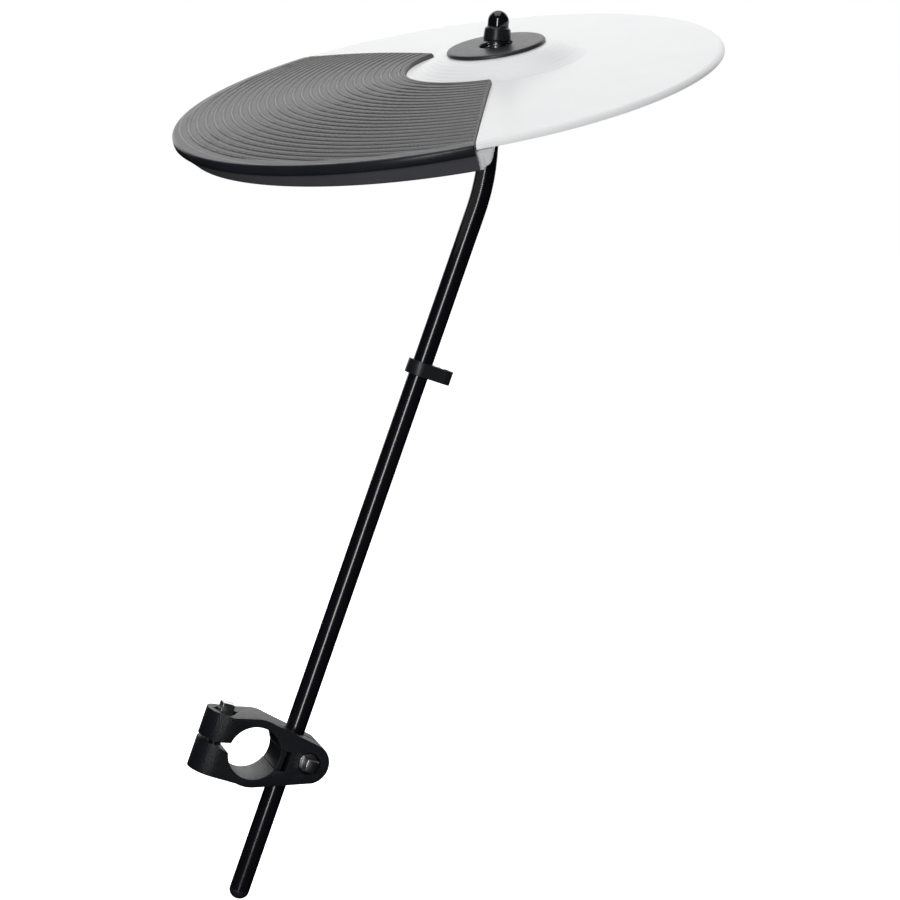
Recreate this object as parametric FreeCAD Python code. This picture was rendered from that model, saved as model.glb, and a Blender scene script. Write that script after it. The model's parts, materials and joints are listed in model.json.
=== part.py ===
"""Rod-mounted practice pad: a cymbal-shaped pad on a bent rod, held in a rack clamp.

Millimetres. +Z is up, along the rod's threaded stud. +Y runs along the bore that takes the
rack tube, and the origin is the middle of that bore. The rod leans towards +X as it rises,
and the pad's playing sector faces -X.

Three local frames keep the sizes simple:
- the clamp's frame is turned by LEAN about +Y, so the rod's straight part runs along its z;
- the stud's frame has its origin at the pad's hub, on the stud's axis;
- the pad's frame has +Z along the pad's axis and +X towards the middle of the sector.
"""
import FreeCAD, Part
import math
import os

from FreeCAD import Vector

os.makedirs("parts", exist_ok=True)

# ---- driving dimensions -------------------------------------------------------------------
# Rod
ROD_R = 4.8
STUD_R = 4.0
LEAN = 15.6                 # angle between the straight part and the stud
BEND_R = 105.0
FOOT_TO_BEND = 288.5        # clamp to the corner of the bend, along the straight part
BEND_TO_HUB = 60.6          # corner of the bend to the pad's hub, along the stud
ROD_BELOW = 68.0            # rod below the clamp's middle, without its tip
TIP_SOCKET = 8.0

# Clamp
BORE_R = 12.8               # closed bore, for a 25.4 mm rack tube
CLAMP_W = 22.0
COLLAR_R = 16.7             # outside of the collar round the tube
ROD_OFF = 19.0              # tube axis to rod axis
JAW_X = -17.0               # jaw bolt's axis
JAW_TOP = 13.8
JAW_LOW = 16.0
ROD_BOLT = (27.4, 1.85)     # rod bolt's axis, x and z in the clamp's frame
END_R = 10.05
SLIT = 1.6
BOLT_R = 3.0
HEAD_AF = 6.0               # square drum-key head
FLANGE_R = 4.6

# Pad
PAD_R = 128.2               # nominal 10-inch disc, over its rolled rim
HUB_OFF = 25.9              # hub to the middle of the disc, towards the sector
SECTOR_HALF = 64.7          # half angle of the sector, about the hub
SECTOR_IN = 43.6            # inner radius of the rubber, about the hub
SECTOR_WIDER = 0.5          # how far the sector's sides lie outside lines through the hub
GROOVE_PITCH = 4.18
GROOVE_FIRST = 48.0
GROOVE_DEPTH = 0.9
RUBBER_T = 2.6
SHELL_T = 2.6
PAD_PITCH = 16.0            # rest tilt towards the sector
PAD_ROLL = 5.85             # rest tilt to the side
PLATE_R = 23.2
PLATE_TOP = 3.6
PLATE_HOLE = 7.8            # the nut's collar stands in this hole
BELL_R = 42.0
BELL_TOP = 1.8

# Rocker under the bell
PIVOT_Z = 2.0               # centre of the spherical faces, above the hub
BALL_R = 16.0
FELT_T = 3.0
FIT_GAP = 0.35

UP = Vector(0, 0, 1)
ORIGIN = Vector(0, 0, 0)


# ---- small helpers ------------------------------------------------------------------------
def cyl(r, z0, z1, x=0.0, y=0.0):
    """A cylinder along z."""
    return Part.makeCylinder(r, z1 - z0, Vector(x, y, z0))


def cyl_y(r, y0, y1, x, z):
    """A cylinder along y."""
    return Part.makeCylinder(r, y1 - y0, Vector(x, y0, z), Vector(0, 1, 0))


def box(x0, x1, y0, y1, z0, z1):
    """A box between two corners."""
    return Part.makeBox(x1 - x0, y1 - y0, z1 - z0, Vector(x0, y0, z0))


def ring(r_out, r_in, z0, z1):
    """A round ring along z."""
    return cyl(r_out, z0, z1).cut(cyl(r_in, z0 - 1, z1 + 1))


def polygon(points):
    """A closed wire through points given as vectors."""
    return Part.makePolygon(points + [points[0]])


def turned(profile, degrees=360.0, start=0.0):
    """A solid turned about z from a closed list of (r, z) points."""
    face = Part.Face(polygon([Vector(r, 0, z) for r, z in profile]))
    body = face.revolve(ORIGIN, UP, degrees)
    body.rotate(ORIGIN, UP, start)
    return Part.Solid(body) if body.ShapeType != "Solid" else body


def prism(across_flats, sides, z0, z1, turn=0.0):
    """A regular prism along z, by its width across flats."""
    r = across_flats / 2 / math.cos(math.pi / sides)
    angles = [2 * math.pi * i / sides + math.radians(turn) for i in range(sides)]
    base = polygon([Vector(r * math.cos(a), r * math.sin(a), z0) for a in angles])
    return Part.Face(base).extrude(Vector(0, 0, z1 - z0))


def to_y(shape, x, z):
    """Turn a shape built along z so that it runs along -y, and move it to x, z."""
    shape = shape.copy()
    shape.rotate(ORIGIN, Vector(1, 0, 0), 90)
    shape.translate(Vector(x, 0, z))
    return shape


def place_clamp(shape):
    """From the clamp's frame to the object's frame."""
    shape = shape.copy()
    shape.rotate(ORIGIN, Vector(0, 1, 0), LEAN)
    return shape


LEAN_RAD = math.radians(LEAN)
ROD_DIR = Vector(math.sin(LEAN_RAD), 0, math.cos(LEAN_RAD))
ACROSS = Vector(math.cos(LEAN_RAD), 0, -math.sin(LEAN_RAD))
CORNER = ACROSS * ROD_OFF + ROD_DIR * FOOT_TO_BEND
HUB = CORNER + UP * BEND_TO_HUB
PIVOT = HUB + UP * PIVOT_Z


def place_stud(shape):
    """From the stud's frame to the object's frame."""
    shape = shape.copy()
    shape.translate(HUB)
    return shape


def place_felt(shape):
    """From the stud's frame to the object's frame, with the pad's rest tilt to the front."""
    shape = place_stud(shape)
    shape.rotate(PIVOT, Vector(0, 1, 0), -PAD_PITCH)
    return shape


def place_pad(shape):
    """From the pad's frame to the object's frame."""
    shape = shape.copy()
    shape.rotate(ORIGIN, UP, 180)
    shape.translate(HUB)
    shape.rotate(PIVOT, Vector(1, 0, 0), PAD_ROLL)
    shape.rotate(PIVOT, Vector(0, 1, 0), -PAD_PITCH)
    return shape


def save(name, shape):
    """Write one sub-part and print its size."""
    if shape.ShapeType == "Compound" and len(shape.Solids) == 1:
        shape = shape.Solids[0]
    shape.exportStep("parts/%s.step" % name)
    state = "valid" if shape.isValid() else "NOT VALID"
    print("%-18s %2d solid  %10.1f mm3  %s" % (name, len(shape.Solids), shape.Volume, state))


# ---- clamp --------------------------------------------------------------------------------
def clamp_outline():
    """Side outline of the clamp: jaws, collar round the tube, and a round end for the rod."""
    bolt_x, bolt_z = ROD_BOLT
    jaw_end = JAW_X - CLAMP_W / 2
    top_turn = math.radians(66)
    low_turn = math.radians(-62)
    top_tan = Vector(bolt_x + END_R * math.cos(top_turn), 0, bolt_z + END_R * math.sin(top_turn))
    low_tan = Vector(bolt_x + END_R * math.cos(low_turn), 0, bolt_z + END_R * math.sin(low_turn))
    nose = Vector(bolt_x + END_R, 0, bolt_z)

    def on_collar(degrees):
        a = math.radians(degrees)
        return Vector(COLLAR_R * math.cos(a), 0, COLLAR_R * math.sin(a))

    p1 = Vector(jaw_end - 2, 0, JAW_TOP)
    p2 = Vector(JAW_X + 2, 0, JAW_TOP)
    p7 = Vector(JAW_X + 2, 0, -JAW_LOW)
    p8 = Vector(jaw_end - 2, 0, -JAW_LOW)
    edges = [
        Part.makeLine(p1, p2),
        Part.makeLine(p2, on_collar(104)),
        Part.Arc(on_collar(104), on_collar(90), on_collar(72)).toShape(),
        Part.makeLine(on_collar(72), top_tan),
        Part.Arc(top_tan, nose, low_tan).toShape(),
        Part.makeLine(low_tan, on_collar(-72)),
        Part.Arc(on_collar(-72), on_collar(-90), on_collar(-104)).toShape(),
        Part.makeLine(on_collar(-104), p7),
        Part.makeLine(p7, p8),
        Part.makeLine(p8, p1),
    ]
    return Part.Wire(edges)


INSERT_IN = 12.2            # insert's flanks start at the bore's edge
INSERT_NECK = 15.2          # front of the insert's wide back
INSERT_BACK = 17.4          # back wall of its slot
INSERT_HALF = 5.0


def make_clamp_body():
    half = CLAMP_W / 2
    face = Part.Face(clamp_outline())
    face.translate(Vector(0, -half - 1, 0))
    body = face.extrude(Vector(0, CLAMP_W + 2, 0))
    # the jaw end is round when seen along the jaw bolt
    round_x = JAW_X + 2.0
    front, back = Vector(round_x, -half, -40), Vector(round_x, half, -40)
    plan = Part.Wire([Part.Arc(back, Vector(round_x - half, 0, -40), front).toShape(),
                      Part.makeLine(front, Vector(60, -half, -40)),
                      Part.makeLine(Vector(60, -half, -40), Vector(60, half, -40)),
                      Part.makeLine(Vector(60, half, -40), back)])
    body = body.common(Part.Face(plan).extrude(Vector(0, 0, 80)))
    cuts = [cyl_y(BORE_R, -half - 1, half + 1, 0, 0)]
    cuts.append(box(JAW_X - half - 1, -BORE_R + 2, -half - 1, half + 1, -0.3 - SLIT / 2, -0.3 + SLIT / 2))
    mouth = polygon([Vector(JAW_X - 2.5, -half - 1, -1.1), Vector(-11.5, -half - 1, -3.2),
                     Vector(-11.5, -half - 1, 2.2), Vector(JAW_X - 2.5, -half - 1, 0.5)])
    cuts.append(Part.Face(mouth).extrude(Vector(0, CLAMP_W + 2, 0)))
    # jaw bolt: clearance hole, hexagonal recess on top, captive nut below
    cuts.append(cyl(BOLT_R + 0.2, -20, 20, JAW_X))
    recess = prism(10.6, 6, JAW_TOP - 4.4, JAW_TOP + 5)
    recess.translate(Vector(JAW_X, 0, 0))
    cuts.append(recess)
    pocket = prism(10.15, 6, -JAW_LOW - 1, -JAW_LOW + 5.2)
    pocket.translate(Vector(JAW_X, 0, 0))
    cuts.append(pocket)
    # rod: hole, pinch slit to the round end, and the insert's slot beside it
    cuts.append(cyl(ROD_R + 0.1, -30, 30, ROD_OFF))
    cuts.append(box(ROD_OFF, 50, -SLIT / 2, SLIT / 2, -30, 30))
    cuts.append(box(INSERT_IN - 1, INSERT_BACK, -half - 1, half + 1, -INSERT_HALF, INSERT_HALF))
    # rod bolt: hole, counterbore in front, captive nut at the back
    bolt_x, bolt_z = ROD_BOLT
    cuts.append(cyl_y(BOLT_R + 0.2, -20, 20, bolt_x, bolt_z))
    cuts.append(cyl_y(5.3, -half - 1, -half + 3.2, bolt_x, bolt_z))
    cuts.append(to_y(prism(10.15, 6, -half - 1, -half + 4.2), bolt_x, bolt_z))
    for cut in cuts:
        body = body.cut(cut)
    return body


def make_insert():
    """Block that the rod presses against the rack tube."""
    half = CLAMP_W / 2 - 0.4
    flank = INSERT_HALF - 0.12
    block = box(INSERT_IN - 1, INSERT_NECK, -half, half, -flank, flank)
    block = block.cut(cyl_y(BORE_R, -half - 1, half + 1, 0, 0))
    return block.cut(cyl(ROD_R + 0.08, -30, 30, ROD_OFF))


def make_bolt(seat_z, length, head):
    """Drum-key bolt along z: square head, round flange, shank; its seat is at seat_z."""
    flange = cyl(FLANGE_R, seat_z, seat_z + 1.5)
    key = prism(HEAD_AF, 4, seat_z + 1.5, seat_z + 1.5 + head, 45)
    key = key.common(turned([(0, seat_z), (4.6, seat_z), (4.6, seat_z + head + 0.7),
                             (3.4, seat_z + head + 1.5), (0, seat_z + head + 1.5)]))
    shank = cyl(BOLT_R, seat_z - length, seat_z + 0.5)
    return flange.fuse(key).fuse(shank).removeSplitter()


def make_washer(z0, thick):
    return ring(FLANGE_R + 0.1, BOLT_R + 0.06, z0, z0 + thick)


def make_hex_nut(z0, height):
    """Captive nut, with a small gap to the thread's crests."""
    nut = prism(10.0, 6, z0, z0 + height)
    return nut.cut(cyl(BOLT_R + 0.06, z0 - 1, z0 + height + 1))


def build_clamp():
    save("clamp_body", place_clamp(make_clamp_body()))
    save("pressure_insert", place_clamp(make_insert()))
    floor = JAW_TOP - 4.4
    for name, shape in (("jaw_washer", make_washer(floor, 1.0)),
                        ("jaw_bolt", make_bolt(floor + 1.0, 25.2, 6.2)),
                        ("jaw_nut", make_hex_nut(-JAW_LOW + 0.2, 5.0))):
        shape.translate(Vector(JAW_X, 0, 0))
        save(name, place_clamp(shape))
    half = CLAMP_W / 2
    bolt_x, bolt_z = ROD_BOLT
    front = half - 3.2
    for name, shape in (("rod_bolt_washer", make_washer(front, 1.0)),
                        ("rod_bolt", make_bolt(front + 1.0, 19.0, 6.2)),
                        ("rod_nut", make_hex_nut(-half + 0.1, 4.0))):
        save(name, place_clamp(to_y(shape, bolt_x, bolt_z)))


# ---- rod ----------------------------------------------------------------------------------
SHOULDER = -21.0            # where the stud begins, below the hub
STUD_TOP = 13.7


def make_rod():
    """Straight part, bend, upright part and threaded stud, in the object's frame."""
    tangent = BEND_R * math.tan(LEAN_RAD / 2)
    foot = ACROSS * ROD_OFF - ROD_DIR * ROD_BELOW
    straight = Part.makeCylinder(ROD_R, ROD_BELOW + FOOT_TO_BEND - tangent, foot, ROD_DIR)
    bend_end = CORNER + UP * tangent
    section = Part.Face(Part.Wire(Part.makeCircle(ROD_R, bend_end, UP)))
    centre = bend_end - Vector(BEND_R, 0, 0)
    elbow = section.revolve(centre, Vector(0, 1, 0), LEAN)
    shoulder = HUB + UP * SHOULDER
    upright = Part.makeCylinder(ROD_R, shoulder.z - bend_end.z, bend_end, UP)
    stud = Part.makeCylinder(STUD_R, STUD_TOP - SHOULDER, shoulder, UP)
    rod = straight.fuse(elbow).fuse(upright).fuse(stud).removeSplitter()
    socket = Part.makeCylinder(2.5, TIP_SOCKET, foot, ROD_DIR)
    return rod.cut(socket)


def make_rod_tip():
    """Domed plug pressed into the end of the rod, in the clamp's frame."""
    dome = Part.makeSphere(ROD_R, Vector(0, 0, 0), UP)
    dome = dome.common(box(-9, 9, -9, 9, -9, 0))
    stem = cyl(2.4, -0.5, TIP_SOCKET - 0.8)
    tip = dome.fuse(stem).removeSplitter()
    tip.translate(Vector(ROD_OFF, 0, -ROD_BELOW))
    return tip


CLIP_AT = 196.0             # clip's middle above the clamp, along the rod
CLIP_H = 6.7
CLIP_WALL = 2.0


def make_cable_clip():
    """Open ring on the rod with a smaller open loop for a cable, in the clamp's frame."""
    z0 = CLIP_AT - CLIP_H / 2
    z1 = CLIP_AT + CLIP_H / 2
    inner = ROD_R + 0.07
    outer = inner + CLIP_WALL
    loop_x = ROD_OFF + 10.6
    loop_y = -2.7
    body = cyl(outer, z0, z1, ROD_OFF).fuse(cyl(4.3, z0, z1, loop_x, loop_y))
    body = body.fuse(box(ROD_OFF, loop_x, -outer, -outer + 4.4, z0, z1)).removeSplitter()
    body = body.cut(cyl(inner, z0 - 1, z1 + 1, ROD_OFF))
    body = body.cut(cyl(2.6, z0 - 1, z1 + 1, loop_x, loop_y))
    # the ring opens at the back, the loop opens beside it
    body = body.cut(box(ROD_OFF - 3.0, ROD_OFF + 3.0, 1, 12, z0 - 1, z1 + 1))
    return body.cut(box(loop_x - 1.2, loop_x + 1.2, loop_y, 8, z0 - 1, z1 + 1))


def build_rod():
    save("rod", make_rod())
    save("rod_tip", place_clamp(make_rod_tip()))
    save("cable_clip", place_clamp(make_cable_clip()))


# ---- rocker and nut -----------------------------------------------------------------------
FELT_OUT = BALL_R + FIT_GAP + FELT_T
CUP_IN = FELT_OUT + FIT_GAP


def at_angle(radius, degrees):
    """Point (r, z) on a sphere about the pivot, at an angle from straight down."""
    a = math.radians(degrees)
    return radius * math.sin(a), PIVOT_Z - radius * math.cos(a)


def sphere_zone(r_out, r_in, low, high, steps=8):
    """Part of a spherical shell between two angles from straight down."""
    angles = [low + (high - low) * i / steps for i in range(steps + 1)]
    inner = [at_angle(r_in, a) for a in angles]
    outer = [at_angle(r_out, a) for a in reversed(angles)]
    return turned(inner + outer)


def make_seat_cup():
    """Cup on the rod's shoulder, hollowed by a sphere about the pivot."""
    rim_r, rim_z = at_angle(CUP_IN, 48)
    cup = turned([(STUD_R + 0.02, SHOULDER + 0.8), (11.0, SHOULDER + 0.8), (16.4, rim_z - 3.0),
                  (16.4, rim_z), (STUD_R + 0.02, rim_z)])
    return cup.cut(Part.makeSphere(CUP_IN, Vector(0, 0, PIVOT_Z)))


def make_bell_boss():
    """Boss under the bell: spherical below, with a flared hole for the stud."""
    flange_z = BELL_TOP - SHELL_T
    foot_z = -10.0
    body = Part.makeSphere(BALL_R, Vector(0, 0, PIVOT_Z))
    body = body.common(cyl(30, foot_z, flange_z))
    body = body.fuse(cyl(21.0, flange_z - 2.6, flange_z)).fuse(cyl(10.0, flange_z - 1, BELL_TOP))
    hole = turned([(0, foot_z - 1), (8.9, foot_z - 1), (4.9, PIVOT_Z), (5.4, BELL_TOP + 1),
                   (0, BELL_TOP + 1)])
    body = body.cut(hole).removeSplitter()
    for i in range(3):
        a = math.radians(120 * i + 60)
        body = body.cut(cyl(1.6, -20, 20, 18.2 * math.cos(a), 18.2 * math.sin(a)))
    return body


def make_boss_screws():
    """Three pan-head screws that go up through the boss into the shell."""
    seat = BELL_TOP - SHELL_T - 2.6
    screws = []
    for i in range(3):
        a = math.radians(120 * i + 60)
        x, y = 18.2 * math.cos(a), 18.2 * math.sin(a)
        head = cyl(2.7, seat - 1.6, seat, x, y)
        screws.append(head.fuse(cyl(1.5, seat - 0.5, seat + 4.6, x, y)).removeSplitter())
    return Part.makeCompound(screws)


def make_centre_plate():
    """Rubber plate on the bell, with a rounded edge."""
    z0 = BELL_TOP
    plate = ring(PLATE_R, PLATE_HOLE, z0, PLATE_TOP)
    rims = [e for e in plate.Edges if abs(e.Length - 2 * math.pi * PLATE_R) < 0.1
            and e.CenterOfMass.z > z0 + 1]
    return plate.makeFillet(1.1, rims)


NUT_Z = 5.0


def make_nut_washer():
    return ring(6.4, STUD_R + 0.06, NUT_Z - 0.7, NUT_Z)


def make_nut_collar():
    """Matte lower part of the acorn nut, slightly tapered, with a chamfered top."""
    collar = turned([(0, NUT_Z), (6.4, NUT_Z), (6.5, NUT_Z + 0.8), (6.1, NUT_Z + 5.4),
                     (5.2, NUT_Z + 6.5), (0, NUT_Z + 6.5)])
    return collar.cut(cyl(STUD_R + 0.06, NUT_Z - 1, NUT_Z + 7))


def make_cap_nut():
    """Glossy dome that closes the nut."""
    base = NUT_Z + 6.5
    straight = cyl(5.0, base, base + 2.6)
    dome = Part.makeSphere(5.0, Vector(0, 0, base + 2.6)).common(box(-9, 9, -9, 9, base + 2.5, 60))
    cap = straight.fuse(dome).removeSplitter()
    return cap.cut(cyl(STUD_R - 0.4, base - 1, base + 3.6)).cut(cyl(STUD_R + 0.06, base - 1, base + 3.0))


def build_rocker():
    save("seat_washer", place_stud(ring(8.0, STUD_R + 0.02, SHOULDER, SHOULDER + 0.8)))
    save("seat_cup", place_stud(make_seat_cup()))
    felt = sphere_zone(FELT_OUT, BALL_R + FIT_GAP, 41, 55)
    save("rocker_felt", place_felt(felt))
    save("bell_boss", place_pad(make_bell_boss()))
    save("boss_screws", place_pad(make_boss_screws()))
    save("centre_plate", place_pad(make_centre_plate()))
    save("nut_washer", place_stud(make_nut_washer()))
    save("nut_collar", place_stud(make_nut_collar()))
    save("cap_nut", place_stud(make_cap_nut()))


# ---- pad ----------------------------------------------------------------------------------
def rubber_z(r):
    """Height of the rubber's crests at a distance from the hub."""
    return -2.85 + 0.030 * r - 0.00052 * r * r


def shell_z(r):
    """Height of the shell's top at a distance from the disc's middle."""
    return -4.27 - 4.0 * (r / PAD_R) ** 2


def sector(r_in, r_out, inset, z0=-40.0, z1=40.0):
    """Prism over the sector about the hub, drawn in by an inset from its two straight sides."""
    half = math.radians(SECTOR_HALF)
    shift = inset / math.sin(half)
    far = r_out + 40
    tip = Vector(shift, 0, z0)
    p1 = Vector(shift + far * math.cos(half), -far * math.sin(half), z0)
    p2 = Vector(shift + far * math.cos(half), far * math.sin(half), z0)
    wedge = Part.Face(polygon([tip, p1, Vector(far * 1.6, 0, z0), p2])).extrude(Vector(0, 0, z1 - z0))
    disc = cyl(r_out, z0, z1, HUB_OFF)
    body = wedge.common(disc)
    return body.cut(cyl(r_in, z0 - 1, z1 + 1)) if r_in > 0 else body


TRAY_T = 2.4
BOX_DEPTH = 11.2            # depth of the tray's outer wall below the rubber's edge
JACK_POS = Vector(-46.0, 0, -9.0)
JACK_Z = -16.6              # height of the jack's bore, low enough for a plug to pass the rim
BOX_HALF = 15.0


def box_screw_places():
    """The four screws beside the jack box."""
    x0 = JACK_POS.x - 22
    x1 = JACK_POS.x + 16
    return [(x, y) for x in (x0 + 10, x1 - 10) for y in (-BOX_HALF - 3.6, BOX_HALF + 3.6)]


def under_rubber(offset, r_max=170.0, steps=14):
    """Solid below the rubber's crest surface, lowered by an offset."""
    radii = [r_max * i / steps for i in range(steps + 1)]
    top = [(r, rubber_z(r) - offset) for r in radii]
    return turned(top + [(r_max, -60.0), (0, -60.0)])


def rim_cone(r_top, z_top, r_low, z_low):
    """Solid inside a cone about the disc's middle, for the sloping outer wall."""
    cone = turned([(0, z_top), (r_top, z_top), (r_low, z_low), (0, z_low)])
    cone.translate(Vector(HUB_OFF, 0, 0))
    return cone


def make_pad_shell():
    """White moulding: shallow dome, low bell, and a tray with walls under the sector."""
    steps = 12
    radii = [(PAD_R - 1.5) * i / steps for i in range(steps + 1)]
    top = [(r, shell_z(r)) for r in radii]
    low = [(r, shell_z(r) - SHELL_T) for r in reversed(radii)]
    edge = [(PAD_R - 0.4, shell_z(PAD_R) - 0.4), (PAD_R, shell_z(PAD_R) - 1.2),
            (PAD_R - 0.1, shell_z(PAD_R) - 3.2), (PAD_R - 1.4, shell_z(PAD_R) - 4.2),
            (PAD_R - 2.6, shell_z(PAD_R) - 3.6)]
    dome = turned(top + edge + low)
    dome.translate(Vector(HUB_OFF, 0, 0))
    # bell
    bell = turned([(0, BELL_TOP - SHELL_T), (24.0, BELL_TOP - SHELL_T), (BELL_R - 1, -7.2), (BELL_R + 1, -7.2),
                   (BELL_R + 1, -5.6), (BELL_R, -4.7), (36.0, -2.9), (30.0, -0.5), (25.2, BELL_TOP - 0.3),
                   (24.4, BELL_TOP), (0, BELL_TOP)])
    dome = dome.cut(cyl(BELL_R - 2.0, -20, 20)).fuse(bell)
    # tray under the rubber
    tray_top = RUBBER_T + 1.0
    rim_z = rubber_z(PAD_R + HUB_OFF)
    region = sector(SECTOR_IN - 2.4, PAD_R - 1.2, -2.4 - SECTOR_WIDER)
    pocket = sector(SECTOR_IN - 0.3, PAD_R + 5, -0.3 - SECTOR_WIDER)
    slab = under_rubber(tray_top).cut(under_rubber(tray_top + TRAY_T)).common(region)
    wall_out = rim_cone(PAD_R - 1.4, rim_z + 6, PAD_R - 7.2, rim_z - BOX_DEPTH)
    wall_in = rim_cone(PAD_R - 3.6, rim_z + 6, PAD_R - 9.4, rim_z - BOX_DEPTH)
    slab = slab.common(wall_out)
    walls = region.cut(sector(SECTOR_IN, PAD_R + 5, -SECTOR_WIDER))
    outer_wall = wall_out.cut(wall_in).common(sector(0, PAD_R + 5, -2.4 - SECTOR_WIDER))
    walls = walls.common(wall_out).common(box(-200, 200, -200, 200, rim_z - BOX_DEPTH, 4))
    # the side walls get shallower towards the hub
    keel = turned([(0, -2.9), (SECTOR_IN - 4, -9.9), (PAD_R + HUB_OFF, rim_z - BOX_DEPTH), (170, rim_z - BOX_DEPTH),
                   (170, 10), (0, 10)])
    walls = walls.common(keel)
    outer_wall = outer_wall.common(box(-200, 200, -200, 200, rim_z - BOX_DEPTH, 4))
    lid = under_rubber(tray_top)
    outer_wall = outer_wall.common(lid)
    walls = walls.common(under_rubber(1.6))
    shell = dome.cut(pocket).fuse(slab).fuse(walls).fuse(outer_wall)
    shell = shell.cut(cyl(10.3, -20, 20))
    for i in range(3):
        a = math.radians(120 * i + 60)
        shell = shell.cut(cyl(1.55, -20, BELL_TOP - 0.5, 18.2 * math.cos(a), 18.2 * math.sin(a)))
    for x, y in box_screw_places():
        shell = shell.cut(cyl(1.45, -20, -7.6, x, y))
    return shell.removeSplitter()


def make_playing_pad():
    """Rubber sector with ring grooves, a rolled edge and a skirt over the tray's wall."""
    top_r = PAD_R + 1.6
    profile = []
    r = GROOVE_FIRST - GROOVE_PITCH / 2
    r_end = PAD_R + HUB_OFF + 8
    profile.append((SECTOR_IN - 10, rubber_z(SECTOR_IN) - 0.1))
    profile.append((r, rubber_z(r) - 0.1))
    while r + GROOVE_PITCH < r_end:
        profile.append((r + 0.45 * GROOVE_PITCH, rubber_z(r + 0.45 * GROOVE_PITCH)))
        profile.append((r + 0.80 * GROOVE_PITCH, rubber_z(r + 0.8 * GROOVE_PITCH) - 0.15))
        profile.append((r + GROOVE_PITCH, rubber_z(r + GROOVE_PITCH) - GROOVE_DEPTH))
        r += GROOVE_PITCH
    profile += [(r + 12, -10.0), (r + 12, -60), (SECTOR_IN - 10, -60)]
    grooved = turned(profile)
    plain = under_rubber(0.25)
    rim_z = rubber_z(PAD_R + HUB_OFF)
    skirt_low = rim_z - BOX_DEPTH + 0.4
    # grooves stop at a plain margin along the rim
    inner_zone = cyl(PAD_R - 5.0, -60, 20, HUB_OFF)
    surface = grooved.common(inner_zone).fuse(plain.cut(inner_zone))
    outline = turned([(0, 4), (top_r - 1.6, 4), (top_r - 1.6, rim_z + 0.6), (top_r - 0.5, rim_z - 0.4),
                      (top_r, rim_z - 1.8), (top_r - 0.1, rim_z - 3.6), (top_r - 1.2, rim_z - 4.8),
                      (PAD_R - 4.6, skirt_low), (0, skirt_low)])
    outline.translate(Vector(HUB_OFF, 0, 0))
    body = surface.common(outline).common(sector(SECTOR_IN, PAD_R + 5, -SECTOR_WIDER))
    hollow = under_rubber(RUBBER_T).common(rim_cone(PAD_R - 1.1, rim_z + 6, PAD_R - 6.9, rim_z - BOX_DEPTH))
    return body.cut(hollow).removeSplitter()


def make_cushion_sheet():
    """Foam between the rubber and the tray."""
    region = sector(SECTOR_IN + 0.4, PAD_R - 4.5, 0.6)
    return under_rubber(RUBBER_T + 0.05).cut(under_rubber(RUBBER_T + 0.95)).common(region)


SENSOR_X = 92.0


def sensor_frame(shape):
    """Put a flat round piece under the tray, square to its slope."""
    slope = math.degrees(math.atan(0.030 - 2 * 0.00052 * SENSOR_X))
    shape.rotate(ORIGIN, Vector(0, 1, 0), -slope)
    shape.translate(Vector(SENSOR_X, 0, rubber_z(SENSOR_X) - RUBBER_T - 1.0 - TRAY_T - 0.15))
    return shape




def make_jack_box():
    """Cover under the shell, behind the bell, that carries the jack."""
    x0 = JACK_POS.x - 22
    x1 = JACK_POS.x + 16
    outer = box(x0, x1, -BOX_HALF, BOX_HALF, JACK_Z - 7.9, -2.0)
    middle = (JACK_Z - 7.9 - 2.0) / 2
    outer = outer.makeFillet(4.0, [e for e in outer.Edges if abs(e.CenterOfMass.z - middle) < 0.1])
    inner = box(x0 + 2, x1 - 2, -BOX_HALF + 2, BOX_HALF - 2, JACK_Z - 5.9, 0)
    ears = box(x0 + 6, x1 - 6, -BOX_HALF - 7, BOX_HALF + 7, -10.9, -2.0)
    body = outer.fuse(ears).cut(inner)
    body = body.common(dome_below(SHELL_T + 0.05))
    body = body.cut(Part.makeCylinder(4.65, 6, Vector(x0 - 2, 0, JACK_Z), Vector(1, 0, 0)))
    for y in (-4.0, 4.0):
        body = body.cut(Part.makeCylinder(1.3, 6, Vector(x1 - 4, y, -12.0), Vector(1, 0, 0)))
    for x, y in box_screw_places():
        body = body.cut(cyl(1.5, -20, 0, x, y))
    return body


def dome_below(offset):
    """Solid below the shell's dome, lowered by an offset."""
    steps = 12
    radii = [PAD_R * i / steps for i in range(steps + 1)]
    shape = turned([(r, shell_z(r) - offset) for r in radii] + [(PAD_R, -60), (0, -60)])
    shape.translate(Vector(HUB_OFF, 0, 0))
    return shape


def make_box_screws():
    screws = []
    for x, y in box_screw_places():
        screws.append(cyl(2.6, -12.5, -10.9, x, y).fuse(cyl(1.4, -11.4, -7.7, x, y)).removeSplitter())
    return Part.makeCompound(screws)


def along_x(r, x0, x1, z):
    return Part.makeCylinder(r, x1 - x0, Vector(x0, 0, z), Vector(1, 0, 0))


def make_jack_socket():
    """6.35 mm jack: threaded bush through the box and a body inside."""
    x0 = JACK_POS.x - 22
    bush = along_x(4.5, x0 - 3.4, x0 + 3, JACK_Z)
    body = box(x0 + 2.1, x0 + 26, -6.0, 6.0, JACK_Z - 5.3, JACK_Z + 5.3)
    return bush.fuse(body).cut(along_x(3.2, x0 - 4, x0 + 23, JACK_Z)).removeSplitter()


def make_jack_nut():
    x0 = JACK_POS.x - 22
    nut = prism(12.0, 6, 0, 2.4)
    nut.rotate(ORIGIN, Vector(0, 1, 0), -90)
    nut.translate(Vector(x0 - 0.02, 0, JACK_Z))
    return nut.cut(along_x(4.55, x0 - 4, x0 + 3, JACK_Z))


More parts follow.
